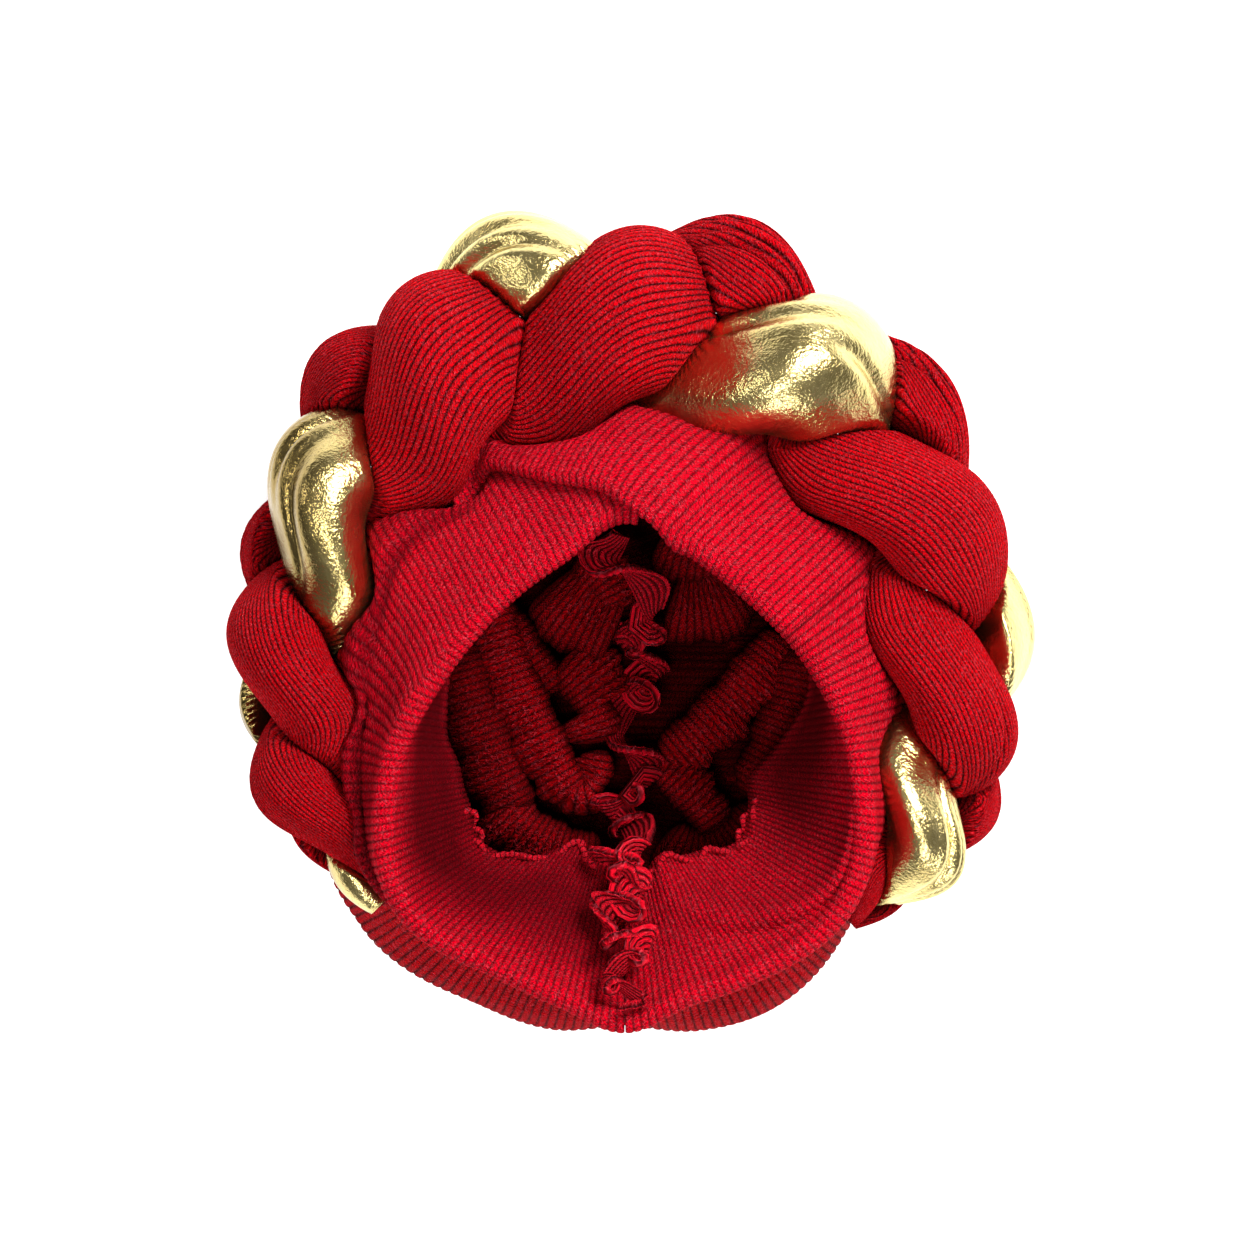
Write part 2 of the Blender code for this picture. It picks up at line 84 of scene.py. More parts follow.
# Long folds of the strands, each at one angle of the section, where 90 is the face and 0 outward, and at one
# place of the plait.
Crease = namedtuple("Crease", "strand plait spread angle depth half_angle")
CREASES = [
    Crease(0, -0.15, 0.45, 60, 4.5, 8),
    Crease(0, 0.05, 0.40, 95, 4.0, 7),
    Crease(0, 0.20, 0.40, 128, 3.5, 7),
    Crease(0, 1.45, 0.40, 22, 4.0, 8),
    Crease(0, 1.60, 0.40, 58, 4.0, 7),
    Crease(0, 3.40, 0.26, 62, 5.0, 7),
    Crease(0, 3.30, 0.30, 92, 3.2, 9),
    Crease(0, 2.62, 0.20, 118, 3.5, 8),
    Crease(0, 4.62, 0.30, 20, 4.0, 8),
    Crease(0, 4.70, 0.30, 48, 4.5, 7),
    Crease(0, 4.72, 0.30, 76, 4.5, 7),
    Crease(0, 4.66, 0.32, 104, 4.0, 7),
    Crease(0, 5.62, 0.30, 112, 4.5, 7),
    Crease(0, 5.70, 0.26, 84, 3.0, 7),
    Crease(0, 6.15, 0.40, 140, 3.5, 8),
    Crease(1, 2.75, 0.35, 48, 3.6, 6),
    Crease(1, 2.65, 0.35, 72, 3.2, 6),
    Crease(1, 2.60, 0.40, 96, 3.0, 6),
    Crease(1, 5.60, 0.35, 50, 3.0, 7),
    Crease(1, 0.75, 0.40, 110, 2.2, 8),
    Crease(1, 4.35, 0.30, 60, 2.2, 7),
    Crease(2, 3.30, 0.40, 34, 3.2, 6),
    Crease(2, 3.22, 0.40, 56, 4.0, 6),
    Crease(2, 3.20, 0.40, 78, 3.6, 6),
    Crease(2, 3.28, 0.45, 100, 3.0, 6),
    Crease(2, 0.60, 0.35, 40, 3.0, 7),
    Crease(2, 6.50, 0.35, 60, 3.0, 7),
    Crease(2, 8.10, 0.35, 88, 2.6, 8),
]
RIB_CALM = 7.0
RIB_STRAY = 0.012


def cubic(t, width, first, last, first_slope, last_slope):
    """The cubic from one value to another with the slopes given, t going from 0 to 1 over the width."""
    return (
        (1 + 2 * t) * (1 - t) ** 2 * first
        + t * (1 - t) ** 2 * width * first_slope
        + t * t * (3 - 2 * t) * last
        + t * t * (t - 1) * width * last_slope
    )


def smooth(rows, name, at, closed=False):
    """Column name of a table at the bearings given, on a cubic curve through its rows."""
    x = np.array([row.bearing for row in rows], float)
    y = np.array([getattr(row, name) for row in rows], float)
    at = np.asarray(at, float)
    if closed:
        x = np.concatenate([x[-2:] - 360, x, x[:2] + 360])
        y = np.concatenate([y[-2:], y, y[:2]])
        at = (at + 90) % 360 - 90
    slope = np.gradient(y, x)
    i = np.clip(np.searchsorted(x, at, side="right") - 1, 0, len(x) - 2)
    width = x[i + 1] - x[i]
    t = np.clip((at - x[i]) / width, 0, 1)
    return cubic(t, width, y[i], y[i + 1], slope[i], slope[i + 1])


def ease(value):
    """A smooth step from 0 to 1 as the value goes from 0 to 1."""
    value = np.clip(value, 0, 1)
    return value * value * (3 - 2 * value)


Section = namedtuple("Section", "plait reach height half_width half_depth tilt centres raised")


def braid_at(bearing):
    """The braid's section at the bearings given. The strands swing side to side as the sine of a phase and
    weave up and down as the sine of twice that phase, a third of a turn apart."""
    column = {name: smooth(BRAID, name, bearing) for name in Braid._fields[1:]}
    tilt = np.radians(column["tilt"])
    centres = []
    raised = []
    for strand in range(3):
        phase = np.radians(GOLD_PHASE + 120 * (column["plait"] - GOLD_LOBE - strand))
        across = SWING * column["half_width"] * np.sin(phase)
        up = CROSS_DEPTH * column["half_depth"] * np.sin(2 * phase)
        centres.append(np.stack([across, up], axis=-1))
        raised.append(np.cos(tilt) * np.sin(2 * phase) - np.sin(tilt) * np.sin(phase))
    column["tilt"] = tilt
    return Section(centres=np.array(centres), raised=np.array(raised), **column)


def skin_distance(section, order, spoke, gap):
    """How far a strand's skin is from its centre along unit spokes of the section: an oval, cut back by a
    line towards each neighbour. The two are joined as a sum of high powers of their inverses."""
    swell = 1 + BULGE * section.raised[order]
    wide = STRAND_WIDTH * section.half_width * swell
    deep = STRAND_DEPTH * section.half_depth * swell
    inverse = ((spoke[..., 0] / wide) ** 2 + (spoke[..., 1] / deep) ** 2) ** (ROUNDING / 2)
    for other in range(3):
        if other != order:
            apart = section.centres[other] - section.centres[order]
            distance = np.linalg.norm(apart, axis=-1)
            facing = np.maximum((apart * spoke).sum(axis=-1) / distance, 0)
            share = 0.5 + CROWDING * (section.raised[order] - section.raised[other])
            room = np.maximum(distance * share - gap / 2, 0.3)
            inverse = inverse + (facing / room) ** ROUNDING
    return inverse ** (-1 / ROUNDING)


def in_ring(bearing, section, across, up):
    """Points of the braid's section, across and up from its centre line, as points in space."""
    out = section.reach + across * np.cos(section.tilt) + up * np.sin(section.tilt)
    height = section.height - across * np.sin(section.tilt) + up * np.cos(section.tilt)
    turn = np.radians(bearing)
    x = RING_CENTRE[0] + out * np.cos(turn)
    y = RING_CENTRE[1] + out * np.sin(turn)
    return np.stack([x, y, height], axis=-1)


def strand_grid(order, sides):
    """(points, lengths along the strand, shades) of one strand. Its columns are evenly spaced round every
    section and evened out along the strand, so that ribs drawn along them close up where it narrows. The
    shade falls where a neighbour presses the skin in, and along the creases."""
    bearing = np.linspace(BRAID[0].bearing, BRAID[-1].bearing, STRAND_STATIONS)[:, None]
    section = braid_at(bearing)
    turn = np.radians(np.linspace(-90, 270, 361))
    spoke = np.stack([np.cos(turn), np.sin(turn)], axis=-1)
    skin = skin_distance(section, order, spoke, STRAND_GAP)[..., None] * spoke
    step = np.linalg.norm(np.diff(skin, axis=1), axis=-1)
    share = np.concatenate([np.zeros((STRAND_STATIONS, 1)), np.cumsum(step, axis=1)], axis=1)
    share /= share[:, -1:]
    # The stations' shares are set two apart, so that one interpolation serves them all.
    number = np.arange(STRAND_STATIONS)[:, None]
    wanted = np.arange(sides) / sides + 2.0 * number
    angle = np.interp(wanted.ravel(), (share + 2.0 * number).ravel(), (turn + 0 * share).ravel())
    calm = np.exp(-(((number - number.T) / RIB_CALM) ** 2))
    angle = calm @ angle.reshape(STRAND_STATIONS, sides) / calm.sum(axis=1)[:, None]
    angle = angle + RIB_STRAY * (np.sin(number * 0.19 + 5 * angle) + 0.7 * np.sin(number * 0.37 - 9 * angle))
    wide = braid_at(bearing + 0 * angle)
    spoke = np.stack([np.cos(angle), np.sin(angle)], axis=-1)
    radius = skin_distance(wide, order, spoke, STRAND_GAP)
    swell = 1 + BULGE * wide.raised[order]
    width = STRAND_WIDTH * wide.half_width * swell
    depth = STRAND_DEPTH * wide.half_depth * swell
    free = 1 / np.hypot(spoke[..., 0] / width, spoke[..., 1] / depth)
    shade = 0.25 + 0.75 * ease((radius / free - 0.5) / 0.5)
    degrees = np.degrees(angle)
    for crease in (crease for crease in CREASES if crease.strand == order):
        near = np.exp(-(((section.plait - crease.plait) / crease.spread) ** 2))
        off = (degrees - crease.angle) / crease.half_angle
        pleat = np.exp(-(off**2)) - 0.5 * np.exp(-(((off - 1.8) / 1.3) ** 2))
        radius = radius - np.minimum(crease.depth, 0.3 * radius) * near * pleat
        shade = shade * (1 - 0.5 * near * np.exp(-(off**2)))
    across, up = (wide.centres[order] + radius[..., None] * spoke).transpose(2, 0, 1)
    points = in_ring(bearing, section, across, up)
    middle = points.mean(axis=1)
    along = np.concatenate([[0], np.cumsum(np.linalg.norm(np.diff(middle, axis=0), axis=1))])
    return points, along, shade


def normals_of(grid, loop):
    """Unit normals of a grid, on the side where its rows and then its columns turn counter-clockwise."""
    down = np.gradient(grid, axis=0)
    around = np.roll(grid, -1, axis=1) - np.roll(grid, 1, axis=1) if loop else np.gradient(grid, axis=1)
    normal = np.cross(down, around)
    return normal / np.maximum(np.linalg.norm(normal, axis=-1), 1e-9)[..., None]


def rib_profile(count):
    """Full ribs with narrow valleys: one minus the cube of the distance from the crest."""
    return 1 - np.abs(2 * (count % 1) - 1) ** 3


def grid_quads(rows, columns, loop):
    """(vertices, rows, columns) of the corners of a grid's quads. A loop's last quads end in its first
    column, which is then counted as the one after its last."""
    row, column = np.mgrid[0 : rows - 1, 0 : columns if loop else columns - 1].reshape(2, -1, 1)
    row = row + np.array([[0, 1, 1, 0]])
    column = column + np.array([[0, 0, 1, 1]])
    return row * columns + column % columns, row, column


def add_mesh(name, points, faces, coordinates, material, shade=None):
    """A smooth object from points in millimetres, arrays of faces and one UV pair for each face corner."""
    corners = np.concatenate([face.ravel() for face in faces]).astype(np.int32)
    sizes = np.concatenate([np.full(len(face), face.shape[1]) for face in faces])
    mesh = bpy.data.meshes.new(name)
    mesh.vertices.add(len(points))
    mesh.vertices.foreach_set("co", (points * MM).astype(np.float32).ravel())
    mesh.loops.add(len(corners))
    mesh.loops.foreach_set("vertex_index", corners)
    mesh.polygons.add(len(sizes))
    mesh.polygons.foreach_set("loop_start", (np.cumsum(sizes) - sizes).astype(np.int32))
    mesh.update(calc_edges=True)
    layer = mesh.uv_layers.new(name="knit")
    layer.uv.foreach_set("vector", np.asarray(coordinates, np.float32).ravel())
    value = mesh.attributes.new("shade", "FLOAT", "POINT")
    shade = np.ones(len(points)) if shade is None else shade
    value.data.foreach_set("value", np.asarray(shade, np.float32).ravel())
    mesh.validate()
    mesh.shade_smooth()
    mesh.materials.append(material)
    obj = bpy.data.objects.new(name, mesh)
    bpy.context.scene.collection.objects.link(obj)
    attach(obj, "root")
    return obj


def add_strand(name, order, sides, ribs, material):
    """One strand as a tube of quads, closed by a fan of triangles at each end."""
    grid, along, shade = strand_grid(order, sides)
    count = np.arange(sides) * ribs / sides
    if ribs:
        grid = grid + normals_of(grid, True) * (RIB_HEIGHT * (rib_profile(count) - 0.8))[:, None]
    faces, row, column = grid_quads(STRAND_STATIONS, sides, True)
    coordinates = np.stack([column * (ribs or RED_RIBS) / sides, along[row]], axis=-1).reshape(-1, 2)
    points = np.concatenate([grid.reshape(-1, 3), [grid[0].mean(axis=0), grid[-1].mean(axis=0)]])
    side = np.arange(sides)
    after = (side + 1) % sides
    pole = np.full(sides, STRAND_STATIONS * sides)
    last = (STRAND_STATIONS - 1) * sides
    first_fan = np.stack([side, after, pole], axis=1)
    last_fan = np.stack([last + after, last + side, pole + 1], axis=1)
    fans = np.concatenate([first_fan, last_fan])
    fan_place = np.stack([side / 4, side / 4], -1).repeat(6, axis=0)
    shade = np.concatenate([shade.ravel(), [0.5, 0.5]])
    obj = add_mesh(name, points, [faces, fans], np.concatenate([coordinates, fan_place]), material, shade)
    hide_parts(name)
    return obj


class Wire:
    """One output of a shader node. Arithmetic on it adds Math nodes to its tree."""

    def __init__(self, tree, socket):
        self.tree = tree
        self.socket = socket

    def math(self, operation, *others):
        node = self.tree.nodes.new("ShaderNodeMath")
        node.operation = operation
        for socket, value in zip(node.inputs, (self, *others)):
            plug(self.tree, socket, value)
        return Wire(self.tree, node.outputs[0])

    def __add__(self, other):
        return self.math("ADD", other)

    def __sub__(self, other):
        return self.math("SUBTRACT", other)

    def __mul__(self, other):
        return self.math("MULTIPLY", other)

    def __truediv__(self, other):
        return self.math("DIVIDE", other)

    def __rsub__(self, other):
        return (self * -1.0) + other

    __radd__ = __add__
    __rmul__ = __mul__

    def clamped(self, low=0.0, high=1.0):
        return self.math("MAXIMUM", low).math("MINIMUM", high)


def plug(tree, socket, value):
    """Links a wire to a socket, or sets the socket to a plain value."""
    if isinstance(value, Wire):
        tree.links.new(value.socket, socket)
    else:
        socket.default_value = value


class Paint:
    """A material with a Principled shader, and the one way to add any other node to it."""

    def __init__(self, name, **values):
        self.material = bpy.data.materials.new(name)
        self.material.use_nodes = True
        self.tree = self.material.node_tree
        self.shader = self.tree.nodes["Principled BSDF"]
        self.set(**values)

    def set(self, **values):
        for name, value in values.items():
            plug(self.tree, self.shader.inputs[name.replace("_", " ")], value)

    def node(self, kind, settings, values, output=0):
        node = self.tree.nodes.new(kind)
        for name, value in settings.items():
            setattr(node, name, value)
        for name, value in values.items():
            plug(self.tree, node.inputs[name], value)
        return Wire(self.tree, node.outputs[output])

    def noise(self, vector, scale, detail=2.0):
        values = {"Vector": vector, "Scale": scale, "Detail": detail, "Roughness": 0.6}
        return self.node("ShaderNodeTexNoise", {}, values, "Fac")

    def mixed(self, share, first, second):
        """Colour between two others, by a share from 0 to 1."""
        node = self.tree.nodes.new("ShaderNodeMix")
        node.data_type = "RGBA"
        plug(self.tree, node.inputs[0], share)
        plug(self.tree, node.inputs[6], first)
        plug(self.tree, node.inputs[7], second)
        return Wire(self.tree, node.outputs[2])

    def coordinates(self):
        """(ribs, length) of the piece's own map: ribs counted across, millimetres along them."""
        place = self.node("ShaderNodeUVMap", {"uv_map": "knit"}, {})
        return (
            self.node("ShaderNodeSeparateXYZ", {}, {"Vector": place}, "X"),
            self.node("ShaderNodeSeparateXYZ", {}, {"Vector": place}, "Y"),
        )

    def vector(self, x, y, z=0.0):
        return self.node("ShaderNodeCombineXYZ", {}, {"X": x, "Y": y, "Z": z})


FULL_TURN = 6.28319
STITCH_LENGTH = 1.7


def knit_paint(name, dark, bright, grooves=0.55, thread_glint=0.5):
    """Ribbed knit: painted shade darkens the grooves between ribs and a painted highlight lightens their
    crests.
    The colour varies from stitch to stitch, slanted stitches cross each rib every STITCH_LENGTH, and short
    pale thread loops carry a painted glint. The "shade" attribute paints each piece's light and shade on top."""
    paint = Paint(name, Roughness=0.85, Specular_IOR_Level=0.04)
    ribs, length = paint.coordinates()
    # Painted shade: the grooves between the ribs are darkened.
    valley = ((ribs * FULL_TURN).math("COSINE") * 0.5 + 0.5).math("POWER", 4.0)
    slant = (ribs.math("FRACT") - 0.5).math("ABSOLUTE") * 2.2
    wobble = paint.noise(paint.vector(ribs * 0.9, length * 0.25), 1.0) - 0.5
    stitch = ((length / STITCH_LENGTH + slant + wobble * 2.4) * FULL_TURN).math("SINE") * 0.5 + 0.5
    grain = paint.noise(paint.vector(ribs * 2.6, length * 0.8), 1.0, 3.0)
    patch = paint.noise(paint.vector(ribs * 0.12, length * 0.035), 1.0)
    shade = paint.node("ShaderNodeAttribute", {"attribute_name": "shade"}, {}, "Fac")
    # A noise that makes the painted groove shade uneven.
    groove_shade_noise = paint.noise(paint.vector(ribs * 0.7, length * 0.3, 5.0), 1.0, 3.0)
    # Painted highlight: the rib crests are lightened.
    crest = (0.5 - (ribs * FULL_TURN).math("COSINE") * 0.5) * 0.3 + 0.8
    groove = 1.0 - valley * (groove_shade_noise * 0.6 + grooves)
    yarn = stitch * 0.6 + grain * 1.5 - 0.22
    lit = crest * groove * yarn * (0.6 + patch * 0.75)
    # The mix from dark to bright paints light and shade from the grooves, the crests and the "shade"
    # attribute, over the stitch, grain and patch tone.
    colour = paint.mixed((lit * shade).clamped(), dark, bright)
    # Painted glint: pale pink thread loops, brighter where the painted shade is light.
    fibre = paint.noise(paint.vector(ribs * 1.7 + length * 0.12, length * 0.75 - ribs * 0.3), 1.0, 1.0)
    loop = (1.0 - (fibre - 0.5).math("ABSOLUTE") * 16.0).clamped()
    glint = loop * (grain * 1.6 - 0.35).clamped() * shade.math("MINIMUM", 1.2) * thread_glint
    colour = paint.mixed(glint, colour, (1.0, 0.11, 0.16, 1.0))
    height = stitch * 0.4 + grain * 0.8 + loop * 0.5
    bump = paint.node("ShaderNodeBump", {}, {"Height": height, "Distance": 0.0011, "Strength": 1.0}, "Normal")
    paint.set(Base_Color=colour, Normal=bump)
    return paint.material


FOIL_SHADE_FROM = -0.098
FOIL_SHADE_PER_METRE = 60.0
FOIL_SHADE_SHARE = 0.8


def foil_paint(name):
    """Gold foil cloth: metallic, with fine crinkles and faint rubbed patches. A painted shade darkens it to
    dark old gold on the left of FOIL_SHADE_FROM, in metres, in step with the distance from there."""
    paint = Paint(name, Metallic=1.0)
    place = paint.node("ShaderNodeTexCoord", {}, {}, "Object")
    aside = paint.node("ShaderNodeSeparateXYZ", {}, {"Vector": place}, "X")
    crinkle = paint.noise(place, 190.0, 4.0)
    fine = paint.noise(place, 900.0, 2.0)
    rubbed = paint.noise(place, 60.0, 3.0)
    colour = paint.mixed(rubbed, (0.62, 0.46, 0.14, 1.0), (0.84, 0.70, 0.33, 1.0))
    # Painted shade on the foil's left side, mixed towards a dark brown gold.
    left_shade = ((FOIL_SHADE_FROM - aside) * FOIL_SHADE_PER_METRE).clamped() * FOIL_SHADE_SHARE
    colour = paint.mixed(left_shade, colour, (0.19, 0.12, 0.03, 1.0))
    height = crinkle * 1.0 + fine * 0.45
    bump = paint.node("ShaderNodeBump", {}, {"Height": height, "Distance": 0.0012, "Strength": 0.5}, "Normal")
    paint.set(Base_Color=colour, Roughness=0.17 + rubbed * 0.16, Normal=bump)
    return paint.material


# The same red knit is painted in copies of different brightness, a painted light and shade: the crown
# darkest, then the strands, the seam strip, and the wraps brightest.
strand_red = knit_paint("strand_red_knit", (0.03, 0.0, 0.0, 1.0), (0.80, 0.0, 0.006, 1.0), 0.75)
gold_strand = add_strand("gold_strand", 0, GOLD_SIDES, 0, foil_paint("gold_foil_cloth"))
for strand_name, strand_order in (("first_red_strand", 1), ("second_red_strand", 2)):
    red_strand = add_strand(strand_name, strand_order, RED_RIBS * RIB_SAMPLES, RED_RIBS, strand_red)


# The forehead wraps. Each is a band of the same ribbed knit, folded double over the cap's edge so that its
# ribs cross the rolled rim, and sewn to the other at the nape. The right band crosses over the left one
# above the forehead, and the inner legs hang down into the hollow as a loose facing.

HEAD_CENTRE = (-2.5, -52.0)
CROWN_WALL = 2.2
KNIT = 2.0
LEG_OFFSET = 3.15
FLAT_OFFSET = 1.45
OVERLAP_LIFT = LEG_OFFSET + 2.5 + 0.8 + FLAT_OFFSET
SKIN_GAP = 0.9
WAIST_SPREAD = 9.0
LEFT_NOTCH = 137
RIGHT_NOTCH = 43
NOTCH_SPREAD = 8.0
NAPE_GAP = 0.1
RIB_WIDTH = 2.75
WRAP_SAMPLES = 4
WRAP_RIB_HEIGHT = 0.42
LEG_POINTS = 20
FOLD_POINTS = 7
FACING_POINTS = 20
FACING_WAVE = 1.8
FACING_FLUTTER = 1.8
FACING_DARK = 0.28
SIDE_DARK = 0.26
SIDE_BAND = 0.38
LEFT_DARK = 0.55
RIGHT_DARK = 0.45
FACING_PLEAT = 7.0
ROLL = 5.0
ROLL_SHARE = 0.66
ROLL_FROM = 114
ROLL_TO = 218
HANGS_BELOW = -12
HANGS_ABOVE = 194
SERGING_RADIUS = 1.0
SERGING_LIGHT = 2.4
SERGING_SIDES = 8
SERGING_STITCH = 2.4

# The rim by bearing: its reach and height, the lean of the wall under it, the share of that wall which the
# outer leg covers, and the lean and length of the facing.
Hem = namedtuple("Hem", "bearing reach height lean skirt facing_lean facing_length")
HEM = [
    Hem(-90, 85.0, 122, 0, 0.80, -55, 50),
    Hem(-75, 78.9, 124, 0, 0.80, -54, 53),
    Hem(-60, 79.9, 126, 2, 0.80, -53, 54),
    Hem(-30, 87.0, 128, 2, 0.80, -48, 50),
    Hem(0, 79.9, 129, 7, 0.72, -36, 54),
    Hem(30, 72.8, 130, 42, 0.85, 0, 26),
    Hem(60, 73.1, 131, 58, 0.90, 30, 18),
    Hem(75, 77.9, 131, 60, 0.90, 35, 16),
    Hem(90, 85.5, 131, 60, 0.90, 35, 8),
    Hem(105, 75.5, 130, 60, 0.90, 35, 16),
    Hem(120, 71.0, 129, 58, 0.90, 30, 18),
    Hem(150, 69.7, 128, 42, 0.85, 0, 26),
    Hem(180, 79.6, 127, 12, 0.80, -24, 46),
    Hem(210, 88.0, 126, 2, 0.80, -36, 52),
    Hem(240, 78.5, 124, 2, 0.80, -53, 54),
    Hem(255, 79.5, 123, 0, 0.80, -54, 53),
]

# The cap by bearing: how far its wall runs on before it bends, then its waist, its belly and its foot.
Crown = namedtuple("Crown", "bearing bend waist_reach waist_height belly_reach belly_height foot_reach")
CROWN = [
    Crown(-90, 7, 80.0, 106, 88.0, 72, 76),
    Crown(-75, 7, 75.0, 109, 92.5, 72, 80),
    Crown(-60, 7, 74.0, 108, 97.0, 68, 82),
    Crown(-30, 8, 79.0, 100, 95.0, 50, 80),
    Crown(0, 10, 83.5, 94, 82.0, 45, 72),
    Crown(30, 20, 100.0, 84, 103.0, 45, 82),
    Crown(45, 25, 107.5, 81, 114.0, 43, 88),
    Crown(60, 29, 112.0, 79, 115.0, 42, 92),
    Crown(75, 31, 115.0, 78, 113.0, 42, 94),
    Crown(90, 28, 113.0, 78, 112.0, 42, 95),
    Crown(105, 30, 112.0, 78, 111.0, 42, 94),
    Crown(120, 27, 110.0, 79, 114.0, 42, 90),
    Crown(135, 25, 110.0, 81, 116.0, 43, 86),
    Crown(150, 20, 103.0, 84, 108.0, 45, 80),
    Crown(180, 10, 86.5, 96, 88.0, 44, 76),
    Crown(195, 9, 83.0, 99, 108.0, 42, 84),
    Crown(210, 8, 79.0, 100, 109.0, 45, 87),
    Crown(240, 7, 74.0, 107, 95.0, 68, 82),
    Crown(255, 7, 76.0, 108, 92.0, 72, 80),
]

# How far outside the left edge the right wrap's edge runs where it crosses, and the way its ribs run there.
Crossing = namedtuple("Crossing", "bearing outward")
CROSSING = [
    Crossing(74, 0),
    Crossing(80, -2.5),
    Crossing(86, -2.5),
    Crossing(91, 1.5),
    Crossing(96, 8.5),
    Crossing(102, 16.5),
    Crossing(108, 25),
    Crossing(114, 34.5),
    Crossing(120, 44),
    Crossing(126, 52),
]
RIGHT_RIB_WAY = 42.0
LEFT_RIB_WAY = 120.0


def hem(bearing, name):
    return smooth(HEM, name, bearing, closed=True)


def crown(bearing, name):
    return smooth(CROWN, name, bearing, closed=True)


def clear_of_braid(points, room):
    """Points moved straight away from each strand's centre where they are closer to its skin than room."""
    for order in (0, 1, 2, 0, 1, 2):
        flat = points[..., :2] - np.array(RING_CENTRE)
        bearing = (np.degrees(np.arctan2(flat[..., 1], flat[..., 0])) + 90) % 360 - 90
        section = braid_at(bearing)
        out = np.linalg.norm(flat, axis=-1) - section.reach
        rise = points[..., 2] - section.height
        across = out * np.cos(section.tilt) - rise * np.sin(section.tilt)
        up = out * np.sin(section.tilt) + rise * np.cos(section.tilt)
        offset = np.stack([across, up], axis=-1) - section.centres[order]
        distance = np.linalg.norm(offset, axis=-1)
        spoke = offset / distance[..., None]
        need = skin_distance(section, order, spoke, STRAND_GAP) + room - distance
        beside = ease((bearing - BRAID[0].bearing) / 12) * ease((BRAID[-1].bearing - bearing) / 12)
        push = np.minimum((need + np.sqrt(need * need + 2.0)) / 2, 30) * beside
        points = in_ring(bearing, section, across + push * spoke[..., 0], up + push * spoke[..., 1])
    return points


def in_head(bearing, reach, height):
    """Points at a reach from the head's centre line, as points in space."""
    turn = np.radians(bearing)
    x = HEAD_CENTRE[0] + reach * np.cos(turn)
    y = HEAD_CENTRE[1] + reach * np.sin(turn)
    return np.stack([x, y, height + 0 * x], axis=-1)


def wall_corners(bearing):
    """(reach, height) of the three corners of the wall's curve: under the fold, the bend and the waist."""
    lean = np.radians(hem(bearing, "lean"))
    down = np.stack([np.sin(lean), -np.cos(lean)], axis=-1)
    start = np.stack([hem(bearing, "reach"), hem(bearing, "height")], axis=-1)
    start = start + down * (LEG_OFFSET + 1.25)
    bend = start + down * crown(bearing, "bend")[..., None]
    notches = np.exp(-(((bearing - LEFT_NOTCH) / 10) ** 2))
    notches = notches + np.exp(-(((bearing - RIGHT_NOTCH) / 9) ** 2))
    spread = WAIST_SPREAD * ease((bearing + 60) / 30) * ease((235 - bearing) / 30)
    spread = spread + NOTCH_SPREAD * notches
    waist = np.stack([crown(bearing, "waist_reach") + spread, crown(bearing, "waist_height")], axis=-1)
    return start, bend, waist


def wall_room(bearing, share):
    """What the wall keeps free beside the braid: its own half thickness, with the wraps over it above."""
    covered = ease((hem(bearing, "skirt") + 0.10 - share) / 0.10)
    crossed = ease((bearing - 78) / 10) * ease((132 - bearing) / 8)
    wraps = LEG_OFFSET + KNIT / 2 + 0.3 + 5.6 * crossed - CROWN_WALL / 2
    return CROWN_WALL / 2 + SKIN_GAP + covered * wraps


def wall(bearing, share):
    """(points, outward normals, directions down) of the cap's wall, a quadratic from fold to waist."""
    start, bend, waist = wall_corners(bearing)
    t = share[..., None]
    section = (1 - t) ** 2 * start + 2 * t * (1 - t) * bend + t * t * waist
    run = (1 - t) * (bend - start) + t * (waist - bend)
    run = run / np.linalg.norm(run, axis=-1)[..., None]
    points = clear_of_braid(in_head(bearing, section[..., 0], section[..., 1]), wall_room(bearing, share))
    centre = in_head(bearing, 0.0, 0.0)
    normal = in_head(bearing, -run[..., 1], run[..., 0]) - centre
    down = in_head(bearing, run[..., 0], run[..., 1]) - centre
    return points, normal, down


def crossing_share(bearing):
    """Share of the wall at which the crossing edge runs, from the wall's quadratic in reach."""
    start, bend, waist = (corner[..., 0] for corner in wall_corners(bearing))
    outward = smooth(CROSSING, "outward", bearing) * (bearing > CROSSING[0].bearing)
    a = start - 2 * bend + waist
    b = np.maximum(2 * (bend - start), 1.0)
    return np.clip(2 * outward / (b + np.sqrt(np.maximum(b * b + 4 * a * outward, 0))), -0.2, 0.92)


